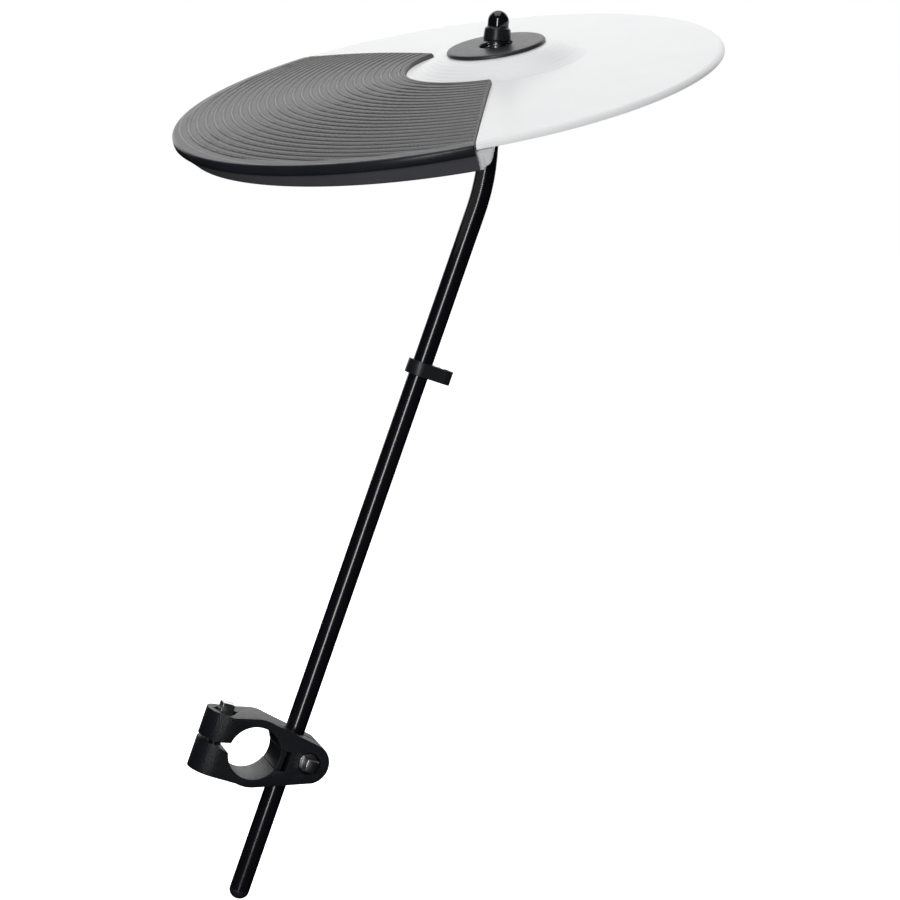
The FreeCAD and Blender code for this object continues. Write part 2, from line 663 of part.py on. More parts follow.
def tube_path(points, radius, bend):
    """Round wire through points: straight runs joined by tangent arcs."""
    edges = []
    start = points[0]
    for i in range(1, len(points) - 1):
        a = (points[i - 1] - points[i]).normalize()
        b = (points[i + 1] - points[i]).normalize()
        half = a.getAngle(b) / 2
        cut = bend / math.tan(half)
        p1 = points[i] + a * cut
        p2 = points[i] + b * cut
        centre = points[i] + (a + b).normalize() * (bend / math.sin(half))
        middle = centre + (points[i] - centre).normalize() * bend
        edges.append(Part.makeLine(start, p1))
        edges.append(Part.Arc(p1, middle, p2).toShape())
        start = p2
    edges.append(Part.makeLine(start, points[-1]))
    path = Part.Wire(edges)
    direction = (points[1] - points[0]).normalize()
    profile = Part.Wire(Part.makeCircle(radius, points[0], direction))
    return path.makePipeShell([profile], True, True)


def make_sensor_wires():
    """Two leads from the piezo to the jack, clipped along the underside."""
    wires = []
    for side in (-1, 1):
        y = side * 1.6
        far = side * 27.0
        points = [Vector(SENSOR_X - 9, y, -13.85), Vector(SENSOR_X - 24, y, -14.35),
                  Vector(48, far, -11.9), Vector(2, far, -10.4), Vector(-24, side * 19.0, -10.2),
                  Vector(-24.0, side * 4, -12.0), Vector(-33.5, side * 4, -12.0)]
        wires.append(tube_path(points, 0.8, 3.0))
    return Part.makeCompound(wires)


def build_pad():
    save("pad_shell", place_pad(make_pad_shell()))
    save("playing_pad", place_pad(make_playing_pad()))
    save("cushion_sheet", place_pad(make_cushion_sheet()))
    save("sensor_tape", place_pad(sensor_frame(cyl(13.0, -1.0, 0))))
    save("piezo_disc", place_pad(sensor_frame(cyl(13.5, -1.4, -1.0))))
    save("piezo_ceramic", place_pad(sensor_frame(cyl(10.0, -1.8, -1.4))))
    save("jack_box", place_pad(make_jack_box()))
    save("box_screws", place_pad(make_box_screws()))
    save("jack_socket", place_pad(make_jack_socket()))
    save("jack_nut", place_pad(make_jack_nut()))
    save("sensor_wires", place_pad(make_sensor_wires()))


build_clamp()
build_rod()
build_rocker()
build_pad()
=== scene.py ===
# %% [markdown]
# # A rod-mounted practice pad
# The pad is a shallow white disc with a grooved rubber sector. It rocks on the stud of a bent
# rod, and the rod slides in a clamp that grips a rack tube. The engineering model is loaded
# first and stays fixed. Everything below gives it its real surface, rounded edges and finishes.

# %% Load the fixed model
import bpy
import bmesh
import json
import math
from mathutils import Matrix, Vector


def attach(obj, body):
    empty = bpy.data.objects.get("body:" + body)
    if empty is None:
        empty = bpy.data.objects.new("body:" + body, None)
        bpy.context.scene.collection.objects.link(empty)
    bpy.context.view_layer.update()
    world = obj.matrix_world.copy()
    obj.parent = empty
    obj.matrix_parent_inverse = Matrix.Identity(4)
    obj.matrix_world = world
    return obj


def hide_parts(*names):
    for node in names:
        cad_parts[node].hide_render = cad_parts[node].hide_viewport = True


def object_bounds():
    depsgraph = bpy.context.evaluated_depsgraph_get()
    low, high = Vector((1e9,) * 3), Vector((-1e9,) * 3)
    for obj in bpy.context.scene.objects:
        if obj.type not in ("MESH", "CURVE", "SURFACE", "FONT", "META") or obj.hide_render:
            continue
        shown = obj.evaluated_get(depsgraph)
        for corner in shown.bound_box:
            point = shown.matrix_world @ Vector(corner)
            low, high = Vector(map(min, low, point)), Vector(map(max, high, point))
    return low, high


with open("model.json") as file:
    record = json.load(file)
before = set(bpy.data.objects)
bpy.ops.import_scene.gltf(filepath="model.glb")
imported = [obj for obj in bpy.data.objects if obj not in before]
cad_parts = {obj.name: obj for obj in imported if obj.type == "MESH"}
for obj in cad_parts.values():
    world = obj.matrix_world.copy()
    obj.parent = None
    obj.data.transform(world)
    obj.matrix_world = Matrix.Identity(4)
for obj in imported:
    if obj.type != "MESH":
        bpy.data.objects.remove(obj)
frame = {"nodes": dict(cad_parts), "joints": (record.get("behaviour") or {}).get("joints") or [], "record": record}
cad_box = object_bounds()

# %% [markdown]
# ## Where things are
# The imported model gives the pivots and axes from its joints, and the clamp's place from its
# mounts. Sizes below are in millimetres, times MM.

# %% Places read from the model
MM = 0.001
JOINTS = {j["name"]: j for j in frame["joints"]}
MOUNTS = {m["name"]: m for m in frame["record"]["mounts"]}
PIVOT = Vector(JOINTS["pad_pitch"]["pos_m"])
ROD_DIR = Vector(JOINTS["rod_slide"]["axis"])
ROD_FOOT = Vector(JOINTS["rod_turn"]["pos_m"])
ROLL_AXIS = Vector(JOINTS["pad_roll"]["axis"])
CLAMP_MID = Vector(MOUNTS["rack_clamp"]["pos_m"])
PIVOT_Z = 2.0 * MM
HUB = PIVOT - Vector((0, 0, PIVOT_Z))
LEAN = math.atan2(ROD_DIR.x, ROD_DIR.z)
PITCH = math.atan2(ROLL_AXIS.z, ROLL_AXIS.x)
ROLL = math.radians(5.85)

STUD = Matrix.Translation(HUB)
CLAMP = Matrix.Translation(CLAMP_MID) @ Matrix.Rotation(LEAN, 4, "Y")
PAD = (Matrix.Translation(PIVOT) @ Matrix.Rotation(-PITCH, 4, "Y") @ Matrix.Rotation(ROLL, 4, "X")
       @ Matrix.Rotation(math.pi, 4, "Z") @ Matrix.Translation((0, 0, -PIVOT_Z)))
print("lean %.1f deg, pad pitched %.1f deg" % (math.degrees(LEAN), math.degrees(PITCH)))

# %% [markdown]
# ## Camera
# A long lens, as for a catalogue view, with the eye a little above the clamp and to the left
# of its bore. The camera turns round the middle of the object at a fixed distance.

# %% Camera
EYE_DISTANCE = 1.2071
EYE_TURN = math.radians(-19.20)
EYE_RISE = math.radians(9.87)
EYE_ROLL = math.radians(4.53)
AIM = Vector((0.0792, -0.0277, 0.1501))

cam_data = bpy.data.cameras.new("camera")
cam_data.lens = 104.0
cam_data.sensor_width = 36.0
cam_data.clip_end = 50.0
camera = bpy.data.objects.new("camera", cam_data)
bpy.context.scene.collection.objects.link(camera)
turn = (Matrix.Rotation(EYE_TURN, 4, "Z") @ Matrix.Rotation(math.pi / 2 - EYE_RISE, 4, "X")
        @ Matrix.Rotation(EYE_ROLL, 4, "Z"))
camera.matrix_world = Matrix.Translation(AIM) @ turn @ Matrix.Translation((0, 0, EYE_DISTANCE))
bpy.context.scene.camera = camera
print("camera at", [round(v, 3) for v in camera.matrix_world.translation])


# %% [markdown]
# ## Node maths as Python
# A node tree is easier to read as a formula. `Sock` wraps one socket, and + - * / on it add the
# Math nodes, so a groove or a worn edge is one line. The same class serves shader trees and
# geometry trees, because both use the same Math node.

# %% A small class for node maths
class Sock:
    """One output socket, with arithmetic that adds Math nodes."""

    def __init__(self, tree, socket):
        self.tree = tree
        self.socket = socket

    def math(self, operation, *values):
        node = self.tree.nodes.new("ShaderNodeMath")
        node.operation = operation
        for i, value in enumerate((self,) + values):
            plug(self.tree, node.inputs[i], value)
        return Sock(self.tree, node.outputs[0])

    def __add__(self, other):
        return self.math("ADD", other)

    def __radd__(self, other):
        return self.math("ADD", other)

    def __sub__(self, other):
        return self.math("SUBTRACT", other)

    def __rsub__(self, other):
        return (self * -1.0) + other

    def __mul__(self, other):
        return self.math("MULTIPLY", other)

    def __rmul__(self, other):
        return self.math("MULTIPLY", other)

    def __truediv__(self, other):
        return self.math("DIVIDE", other)

    def clamp(self):
        return self.math("MAXIMUM", 0.0).math("MINIMUM", 1.0)

    def fract(self):
        return self.math("FRACT")

    def step(self, low, high):
        """A smooth ramp from 0 at low to 1 at high."""
        t = ((self - low) / (high - low)).clamp()
        return t * t * (3.0 - 2.0 * t)


print("operators on", Sock.__name__)


# %% One method for every node
def plug(tree, target, value):
    """Link a Sock, or set a plain value."""
    if isinstance(value, Sock):
        tree.links.new(value.socket, target)
    else:
        target.default_value = value


class Build:
    """Adds nodes to one tree: `build.node(type, settings, inputs)` gives the first output."""

    def __init__(self, tree):
        self.tree = tree

    def node(self, kind, settings=None, inputs=None, out=0):
        node = self.tree.nodes.new(kind)
        for key, value in (settings or {}).items():
            if key == "stops":
                fill_ramp(node.color_ramp, value)
            else:
                setattr(node, key, value)
        for key, value in (inputs or {}).items():
            plug(self.tree, node.inputs[key], value)
        return Sock(self.tree, node.outputs[out]) if node.outputs else None


def fill_ramp(ramp, stops):
    """Set a colour ramp's stops from (position, grey or colour) pairs."""
    while len(ramp.elements) < len(stops):
        ramp.elements.new(1.0)
    for element, (at, value) in zip(ramp.elements, stops):
        element.position = at
        rgb = value if isinstance(value, tuple) else (value, value, value)
        element.color = rgb + (1.0,)


print("nodes come from", Build.node.__qualname__)


# %% [markdown]
# ## One recipe for every finish
# Moulded plastic, rubber and painted steel differ in colour, gloss and the size of their
# surface texture. Each finish mixes two close colours over a large noise, varies the roughness
# on a medium noise, and adds a fine bump of its own grain. Patterns use Object coordinates, in
# metres, so their scale is real.

# %% Finish maker
MOTTLE_SCALE = 40.0
SMEAR_SCALE = 240.0
COAT_ROUGH = 0.06
WHITE_LIGHT = (1.0, 1.0, 1.0, 1.0)


def finish(name, colour, colour_2, rough, rough_spread, grain_scale, grain_depth, metallic=0.0,
           coat=0.0, specular=0.5, grain_kind="noise", sheen=0.0, glow=0.0, extra=None):
    """A material from two close colours, a roughness and its spread, and a grain in 1/m and mm."""
    mat = bpy.data.materials.new(name)
    mat.use_nodes = True
    tree = mat.node_tree
    tree.nodes.clear()
    b = Build(tree)
    place = b.node("ShaderNodeTexCoord", out=3)
    mottle = b.node("ShaderNodeTexNoise", inputs={"Vector": place, "Scale": MOTTLE_SCALE, "Detail": 4.0})
    smear = b.node("ShaderNodeTexNoise", inputs={"Vector": place, "Scale": SMEAR_SCALE, "Detail": 3.0})
    mask = mottle.step(0.35, 0.65)
    mixed = b.node("ShaderNodeMix", {"data_type": "RGBA"},
                   {"Factor": mask, "A": colour + (1.0,), "B": colour_2 + (1.0,)}, out=2)
    roughness = (smear - 0.5) * rough_spread * 2.0 + rough
    if grain_kind == "leather":
        grain = b.node("ShaderNodeTexVoronoi", {"feature": "F1"},
                       {"Vector": place, "Scale": grain_scale})
    else:
        grain = b.node("ShaderNodeTexNoise",
                       inputs={"Vector": place, "Scale": grain_scale, "Detail": 2.0})
    height = grain * grain_depth
    if extra:
        mixed, roughness, height = extra(b, place, mixed, roughness, height)
    bump = b.node("ShaderNodeBump", inputs={"Height": height, "Distance": MM, "Strength": 1.0})
    shader = b.node("ShaderNodeBsdfPrincipled", inputs={
        "Base Color": mixed, "Roughness": roughness.clamp(), "Normal": bump, "Metallic": metallic,
        "Coat Weight": coat, "Coat Roughness": COAT_ROUGH, "Specular IOR Level": specular,
        "Sheen Weight": sheen, "Sheen Roughness": 0.5, "Emission Color": WHITE_LIGHT,
        "Emission Strength": glow})
    b.node("ShaderNodeOutputMaterial", inputs={"Surface": shader})
    return mat


print("clear areas every", round(1000 / MOTTLE_SCALE), "mm, smears every", round(1000 / SMEAR_SCALE), "mm")


# %% [markdown]
# ## The finishes
# White shell: satin moulded plastic. Rubber: dull, with a fine mould texture. Clamp: black nylon
# with a spark-eroded grain. Rod: gloss paint over steel, with a faint orange peel. The rubber's
# rings also carry a painted highlight on the bead tops and painted shade in the valleys.

# %% Painted ring highlight and shade
PITCH_MM = 4.18
FIRST_MM = 48.0
# Colours of a painted highlight on the bead tops and of painted shade in the valleys.
BEAD_HIGHLIGHT_GREY = (0.15, 0.148, 0.145, 1.0)
VALLEY_SHADE_GREY = (0.03, 0.03, 0.03, 1.0)


def grey(v):
    return (v, v, v)


def ring_highlight_and_shade(b, place, colour, rough, height):
    """Painted highlight on the smoother bead tops, and painted shade in the valleys and a thin groove, in rings
    about the hub.
    """
    polar = b.node("ShaderNodeAttribute", {"attribute_name": "hub_radius"}, out=2)
    phase = ((polar - FIRST_MM) / PITCH_MM + 0.5).fract()
    bead = phase.step(0.10, 0.18) * (1.0 - phase.step(0.22, 0.30))
    groove = phase.step(0.32, 0.36) * (1.0 - phase.step(0.38, 0.44))
    valley = (1.0 - phase.step(0.02, 0.08)) + groove
    # Painted highlight on the bead tops, then painted shade in the valleys and the thin groove.
    lit = b.node("ShaderNodeMix", {"data_type": "RGBA"},
                 {"Factor": bead * 0.8, "A": colour, "B": BEAD_HIGHLIGHT_GREY}, out=2)
    dim = b.node("ShaderNodeMix", {"data_type": "RGBA"},
                 {"Factor": valley.clamp() * 0.6, "A": lit, "B": VALLEY_SHADE_GREY}, out=2)
    return dim, rough - bead * 0.06, height


print("rings every", PITCH_MM, "mm from", FIRST_MM, "mm")

# %% Finish list
WHITE = finish("white_shell_plastic", (0.83, 0.835, 0.845), (0.845, 0.85, 0.855), 0.34, 0.05, 1800,
               0.012)
# The rubber's rings get a painted highlight on the bead tops and painted shade in the valleys.
RUBBER = finish("pad_rubber", (0.066, 0.065, 0.064), (0.074, 0.072, 0.071), 0.47, 0.05, 2600, 0.04,
                specular=0.9, extra=ring_highlight_and_shade)
RUBBER_EDGE = finish("pad_rubber_edge", (0.013, 0.014, 0.018), (0.017, 0.018, 0.022), 0.30, 0.05,
                     1500, 0.02, specular=0.35)
RUBBER_SIDE = finish("pad_rubber_side", (0.072, 0.073, 0.084), (0.08, 0.081, 0.093), 0.55, 0.06,
                     2200, 0.04)
PLATE = finish("centre_plate_rubber", (0.022, 0.023, 0.026), (0.028, 0.029, 0.032), 0.38, 0.06,
               2000, 0.03)
GRAINED = finish("clamp_grained_nylon", (0.007, 0.008, 0.011), (0.011, 0.012, 0.015), 0.38, 0.08,
                 1500, 0.16, specular=0.38, grain_kind="leather")
SATIN = finish("satin_black_plastic", (0.009, 0.010, 0.013), (0.012, 0.013, 0.016), 0.36, 0.06,
               1600, 0.03)
GLOSS = finish("gloss_black_plastic", grey(0.006), grey(0.008), 0.10, 0.03, 900, 0.01, coat=0.6)
PAINT = finish("rod_gloss_paint", (0.005, 0.005, 0.007), (0.006, 0.006, 0.009), 0.21, 0.03, 500,
               0.02, coat=0.5)
CHROME = finish("bolt_chrome", grey(0.74), grey(0.78), 0.30, 0.05, 700, 0.01, metallic=1.0)
ZINC = finish("zinc_plate", (0.52, 0.53, 0.54), (0.6, 0.6, 0.58), 0.34, 0.08, 900, 0.02, metallic=1.0)
FELT = finish("pressed_felt", grey(0.05), grey(0.08), 0.92, 0.04, 3500, 0.5, sheen=0.5)
FOAM = finish("closed_foam", grey(0.03), grey(0.04), 0.9, 0.04, 2500, 0.4)
BRASS = finish("piezo_brass", (0.70, 0.50, 0.20), (0.75, 0.56, 0.26), 0.30, 0.08, 800, 0.01,
               metallic=1.0)
CERAMIC = finish("piezo_ceramic", (0.72, 0.71, 0.68), (0.78, 0.77, 0.74), 0.4, 0.05, 1500, 0.02)
WIRE_RED = finish("wire_red_pvc", (0.42, 0.02, 0.02), (0.46, 0.03, 0.03), 0.35, 0.05, 1500, 0.01)
print("finishes:", len(bpy.data.materials))


# %% [markdown]
# ## Mesh helpers
# Round pieces are lathe-turned from a short profile, with round corners worked out by a formula.
# Moulded pieces with many cuts start from a merged copy of the engineering mesh, whose sharp
# edges get a small bevel, as a real moulding or machined part has.

# %% Meshes in place
def to_object(name, verts, faces, matrix, material, smooth=True):
    """A mesh object at the origin, with its place in its mesh."""
    mesh = bpy.data.meshes.new(name)
    mesh.from_pydata([tuple(matrix @ Vector(v)) for v in verts], [], faces)
    mesh.materials.append(material)
    obj = bpy.data.objects.new(name, mesh)
    bpy.context.scene.collection.objects.link(obj)
    if smooth:
        mesh.polygons.foreach_set("use_smooth", [True] * len(mesh.polygons))
    return obj


def clean(obj, limit=None):
    """Merge doubles and turn every face outwards."""
    bm = bmesh.new()
    bm.from_mesh(obj.data)
    bmesh.ops.remove_doubles(bm, verts=bm.verts, dist=1e-6)
    if limit:
        bmesh.ops.dissolve_limit(bm, angle_limit=limit, verts=bm.verts, edges=bm.edges)
    bmesh.ops.recalc_face_normals(bm, faces=bm.faces)
    bm.to_mesh(obj.data)
    bm.free()
    return obj


def bake(obj):
    """Apply the modifiers of a piece, so that it is a plain mesh."""
    graph = bpy.context.evaluated_depsgraph_get()
    mesh = bpy.data.meshes.new_from_object(obj.evaluated_get(graph))
    obj.modifiers.clear()
    obj.data = mesh
    return obj


print("mesh helpers:", to_object.__name__, clean.__name__, bake.__name__)


# %% Round edges
def bevel(obj, width, segments=3, angle=35):
    """Round the edges of a piece that are sharper than an angle."""
    mod = obj.modifiers.new("round", "BEVEL")
    mod.width = width
    mod.segments = segments
    mod.limit_method = "ANGLE"
    mod.angle_limit = math.radians(angle)
    mod.harden_normals = False
    mod.use_clamp_overlap = True
    bake(obj)
    obj.data.polygons.foreach_set("use_smooth", [True] * len(obj.data.polygons))
    sharpen(obj, angle)
    return obj


def sharpen(obj, angle=35):
    """Mark edges sharper than an angle, so that smooth shading stops there."""
    bm = bmesh.new()
    bm.from_mesh(obj.data)
    for edge in bm.edges:
        if len(edge.link_faces) == 2 and edge.calc_face_angle(0) > math.radians(angle):
            edge.smooth = False
    bm.to_mesh(obj.data)
    bm.free()


def softened(node, material, width, angle=35, segments=3):
    """A merged copy of a node's mesh with small round edges."""
    source = frame["nodes"][node]
    mesh = source.data.copy()
    mesh.materials.clear()
    mesh.materials.append(material)
    obj = bpy.data.objects.new(node + "_moulded", mesh)
    bpy.context.scene.collection.objects.link(obj)
    clean(obj, math.radians(1.0))
    bevel(obj, width, segments, angle)
    return obj


print("edge helpers:", bevel.__name__, sharpen.__name__, softened.__name__)


# %% Turned pieces and their bodies
def own(obj, body, slot, *nodes):
    """Ride a piece on its body and stand it for its nodes; the slot is not used."""
    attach(obj, body)
    if nodes:
        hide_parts(*nodes)
    return obj


def arc(cx, cz, r, a0, a1, steps=6):
    """Points on an arc in the profile plane, angles in degrees."""
    return [(cx + r * math.cos(math.radians(a0 + (a1 - a0) * i / steps)),
             cz + r * math.sin(math.radians(a0 + (a1 - a0) * i / steps))) for i in range(steps + 1)]


def lathe(name, profile, matrix, material, sides=96, radius=None):
    """Turn a closed (r, z) profile, in mm, about z; radius(r, z, angle) may reshape it."""
    verts, faces = [], []
    count = len(profile)
    for j in range(sides):
        a = 2 * math.pi * j / sides
        for r, z in profile:
            rr = radius(r, z, a) if radius else r
            verts.append((rr * math.cos(a) * MM, rr * math.sin(a) * MM, z * MM))
    for j in range(sides):
        k = (j + 1) % sides
        for i in range(count):
            n = (i + 1) % count
            faces.append((j * count + i, k * count + i, k * count + n, j * count + n))
    obj = to_object(name, verts, faces, matrix, material)
    clean(obj)
    sharpen(obj, 50)
    return obj


print("a quarter round has", len(arc(0, 0, 1, 0, 90)), "points")


# %% [markdown]
# ## Geometry Nodes for what repeats
# Three small trees do the repeating work. One sinks ring grooves into a surface about an axis.
# One sets copies of a piece on points, such as screws. One sweeps a round section along a curve.
# Each has named inputs for its sizes, and ends in Realize Instances and Set Material, so that
# the result is plain faces with their finish.

# %% Start and end of a tree
def geometry_tree(name, inputs):
    """A geometry node tree with named inputs; gives the tree, its maker and its inputs."""
    tree = bpy.data.node_groups.new(name, "GeometryNodeTree")
    tree.interface.new_socket("Geometry", in_out="INPUT", socket_type="NodeSocketGeometry")
    for label, kind, value in inputs:
        item = tree.interface.new_socket(label, in_out="INPUT", socket_type="NodeSocket" + kind)
        if value is not None:
            item.default_value = value
    tree.interface.new_socket("Geometry", in_out="OUTPUT", socket_type="NodeSocketGeometry")
    entry = tree.nodes.new("NodeGroupInput")
    leave = tree.nodes.new("NodeGroupOutput")
    socks = {s.name: Sock(tree, s) for s in entry.outputs if s.name}
    return tree, Build(tree), socks, leave


def close_tree(tree, b, shape, inp, leave):
    """End a tree: instances made real, and the named finish on every face."""
    real = b.node("GeometryNodeRealizeInstances", inputs={"Geometry": shape})
    painted = b.node("GeometryNodeSetMaterial", inputs={"Geometry": real, "Material": inp["Finish"]})
    tree.links.new(painted.socket, leave.inputs[0])
    return tree


def set_inputs(mod, tree, values):
    """Give a modifier its tree and its named inputs, by each socket's identifier."""
    mod.node_group = tree
    for item in tree.interface.items_tree:
        if item.item_type == "SOCKET" and item.in_out == "INPUT" and item.name in values:
            mod[item.identifier] = values[item.name]


def apply_tree(obj, tree, **values):
    """Run a geometry tree on a piece with its named inputs, and keep the result as a mesh."""
    set_inputs(obj.modifiers.new("tree", "NODES"), tree, values)
    return bake(obj)


print("tree helpers:", geometry_tree.__name__, close_tree.__name__, apply_tree.__name__)

# %% [markdown]
# ### Ring grooves
# Real ring grooves could be turned as hundreds of profile points. Here the surface only needs
# enough rows: the tree reads each point's distance from the hub, and lowers it between a narrow
# bead and a flat land. The same tree makes the rubber's rings and the bell's fainter ones.

# %% Tree: ring grooves about an axis
def ring_groove_tree():
    tree, b, inp, leave = geometry_tree("ring_grooves", [
        ("Pitch", "Float", PITCH_MM), ("First", "Float", FIRST_MM), ("Depth", "Float", 0.9),
        ("Land", "Float", 0.6), ("Finish", "Material", None)])
    read = {"data_type": "FLOAT"}
    polar = b.node("GeometryNodeInputNamedAttribute", read, {"Name": "hub_radius"})
    zone = b.node("GeometryNodeInputNamedAttribute", read, {"Name": "groove_zone"})
    phase = ((polar - inp["First"]) / inp["Pitch"] + 0.5).fract()
    bead = phase.step(0.06, 0.17) * (1.0 - phase.step(0.23, 0.34))
    land = phase.step(0.38, 0.50) * (1.0 - phase.step(0.88, 1.0)) * inp["Land"]
    crest = bead.math("MAXIMUM", land)
    drop = (crest - 1.0) * inp["Depth"] * zone * MM
    down = b.node("ShaderNodeCombineXYZ", inputs={"Z": drop})
    moved = b.node("GeometryNodeSetPosition", inputs={"Geometry": inp["Geometry"], "Offset": down})
    return close_tree(tree, b, moved, inp, leave)


GROOVES = ring_groove_tree()
print("tree:", GROOVES.name, len(GROOVES.nodes), "nodes")

# %% [markdown]
# ### Copies on points
# Screws are alike, so one is made and set on a point at each place. The points are the vertices
# of a mesh with no faces.

# %% Tree: copies of a piece on points
def scatter_tree():
    tree, b, inp, leave = geometry_tree("set_on_points", [
        ("Piece", "Object", None), ("Finish", "Material", None)])
    points = b.node("GeometryNodeMeshToPoints", inputs={"Mesh": inp["Geometry"]})
    piece = b.node("GeometryNodeObjectInfo", {"transform_space": "ORIGINAL"},
                   {"Object": inp["Piece"]}, out=4)
    copies = b.node("GeometryNodeInstanceOnPoints", inputs={"Points": points, "Instance": piece})
    return close_tree(tree, b, copies, inp, leave)


SCATTER = scatter_tree()
print("tree:", SCATTER.name, len(SCATTER.nodes), "nodes")


def set_on_points(name, piece, points, material, matrix):
    """Copies of a piece at points given in the local frame, then placed by a matrix."""
    holder = to_object(name, points, [], Matrix.Identity(4), material, smooth=False)
    apply_tree(holder, SCATTER, Piece=piece, Finish=material)
    holder.data.transform(matrix)
    bpy.data.objects.remove(piece)
    clean(holder)
    sharpen(holder, 40)
    return holder


# %% [markdown]
# ### A round bar along a line
# A bent bar keeps one round section along its centre line, which is what Curve to Mesh does.
# Turning it on a lathe could not give the bend.

# %% Tree: round section along a curve
def sweep_tree():
    tree, b, inp, leave = geometry_tree("round_sweep", [
        ("Radius", "Float", 0.005), ("Sides", "Int", 48), ("Finish", "Material", None)])
    ring = b.node("GeometryNodeCurvePrimitiveCircle",
                  inputs={"Resolution": inp["Sides"], "Radius": inp["Radius"]})
    tube = b.node("GeometryNodeCurveToMesh",
                  inputs={"Curve": inp["Geometry"], "Profile Curve": ring, "Fill Caps": True})
    return close_tree(tree, b, tube, inp, leave)


SWEEP = sweep_tree()
print("tree:", SWEEP.name, len(SWEEP.nodes), "nodes")


def sweep(name, points, radius, material, sides=48):
    """A round bar through points, as a mesh."""
    curve = bpy.data.curves.new(name + "_line", "CURVE")
    curve.dimensions = "3D"
    spline = curve.splines.new("POLY")
    spline.points.add(len(points) - 1)
    for point, place in zip(spline.points, points):
        point.co = tuple(place) + (1.0,)
    line = bpy.data.objects.new(name + "_line", curve)
    bpy.context.scene.collection.objects.link(line)
    values = {"Radius": radius, "Sides": sides, "Finish": material}
    set_inputs(line.modifiers.new("tree", "NODES"), SWEEP, values)
    graph = bpy.context.evaluated_depsgraph_get()
    mesh = bpy.data.meshes.new_from_object(line.evaluated_get(graph))
    obj = bpy.data.objects.new(name, mesh)
    bpy.context.scene.collection.objects.link(obj)
    bpy.data.objects.remove(line)
    if not mesh.materials:
        mesh.materials.append(material)
    clean(obj)
    mesh.polygons.foreach_set("use_smooth", [True] * len(mesh.polygons))
    sharpen(obj, 40)
    return obj


# %% [markdown]
# ## Shape of the disc
# The shell is a shallow dome about the disc's middle. The bell and the rubber are round about
# the hub, which sits off the middle, away from the sector. These few formulas give every
# height on the pad, and both the shell and the rubber are built from them.

# %% Disc formulas, in millimetres in the pad's frame
PAD_R = 128.2
HUB_OFF = 25.9
SECTOR = math.radians(64.7)
SECTOR_IN = 43.6
WIDER = 0.5
BELL_TOP = 1.8
HOLE_R = 10.3
SHELL_T = 2.6


def rim_at(angle, radius=PAD_R):
    """Distance from the hub to a circle about the disc's middle."""
    return HUB_OFF * math.cos(angle) + math.sqrt(radius ** 2 - (HUB_OFF * math.sin(angle)) ** 2)


def dome_z(x, y):
    return -4.27 - 4.0 * ((x - HUB_OFF) ** 2 + y * y) / PAD_R ** 2


def rubber_z(r):
    return -2.85 + 0.030 * r - 0.00052 * r * r


def smooth(t):
    t = min(max(t, 0.0), 1.0)
    return t * t * (3 - 2 * t)


def shell_top(r, angle):
    """Height of the white surface: bell, blend and dome."""
    x, y = r * math.cos(angle), r * math.sin(angle)
    base = dome_z(x, y)
    blend = smooth((r - 24.0) / 19.0)
    return BELL_TOP * (1 - blend) + base * blend


def edge_shift(angle, r):
    """Turn of a spoke near the sector's sides, which lie a little outside lines through the hub."""
    near = smooth(1 - abs(abs(angle) - SECTOR) / 0.5)
    return math.copysign(math.asin(WIDER / r), angle) * near


RIM_Z = rubber_z(PAD_R + HUB_OFF)
print("rim %.2f mm below the hub, farthest point %.1f mm from it" % (-RIM_Z, rim_at(0.0)))


# %% [markdown]
# ## White shell
# One sheet in polar rows about the hub, thickened by Solidify and rounded by Bevel. Its faces
# leave out the sector, where the rubber lies in a separate tray. The faint rings of the bell
# are sunk by the groove tree, and the rim rolls down over its last few millimetres.

# %% A sheet in polar rows
def set_point_values(obj, **layers):
    """Named numbers on the points of a mesh, for the groove tree and the painted ring highlight and shade."""
    for label, values in layers.items():
        layer = obj.data.attributes.new(label, "FLOAT", "POINT")
        layer.data.foreach_set("value", values)


def polar_sheet(name, radii_of, angles, height, material, attribute=None, wrap=False, skip=None):
    """A sheet of rows about the hub; radii_of(angle) lists the radii along one spoke."""
    verts, faces, hub_radius, zone = [], [], [], []
    spokes = [radii_of(a) for a in angles]
    rows = len(spokes[0])
    for a, spoke in zip(angles, spokes):
        flat_a = math.atan2(math.sin(a), math.cos(a))
        for i, r in enumerate(spoke):
            b = a + edge_shift(flat_a, r)
            verts.append((r * math.cos(b) * MM, r * math.sin(b) * MM, height(r, a, i) * MM))
            hub_radius.append(r)
            zone.append(attribute(r, a, i) if attribute else 0.0)
    total = len(angles)
    for j in range(total if wrap else total - 1):
        k = (j + 1) % total
        for i in range(rows - 1):
            if skip and skip(j, i):
                continue
            faces.append((j * rows + i, j * rows + i + 1, k * rows + i + 1, k * rows + i))
    obj = to_object(name, verts, faces, Matrix.Identity(4), material)
    set_point_values(obj, hub_radius=hub_radius, groove_zone=zone)
    return obj


def face_up(obj):
    """Drop loose points and turn an open sheet's faces to +z."""
    bm = bmesh.new()
    bm.from_mesh(obj.data)
    bmesh.ops.delete(bm, geom=[v for v in bm.verts if not v.link_faces], context="VERTS")
    bmesh.ops.recalc_face_normals(bm, faces=bm.faces)
    if sum(f.normal.z for f in bm.faces) < 0:
        bmesh.ops.reverse_faces(bm, faces=bm.faces)
    bm.to_mesh(obj.data)
    bm.free()


def thicken(obj, thickness):
    """Give a sheet its wall, on the side away from its faces."""
    mod = obj.modifiers.new("thick", "SOLIDIFY")
    mod.thickness = thickness
    mod.offset = -1.0
    mod.use_even_offset = True
    return bake(obj)


print("sheet helpers:", polar_sheet.__name__, face_up.__name__, thicken.__name__)

# %% Rows of the white shell
INNER_ROWS = 52
OUTER_ROWS = 34
WHITE_SPOKES = 150
DARK_SPOKES = 60
ROLL_R = 2.6
GAP_ANGLE = math.radians(0.18)
CUT = SECTOR + GAP_ANGLE


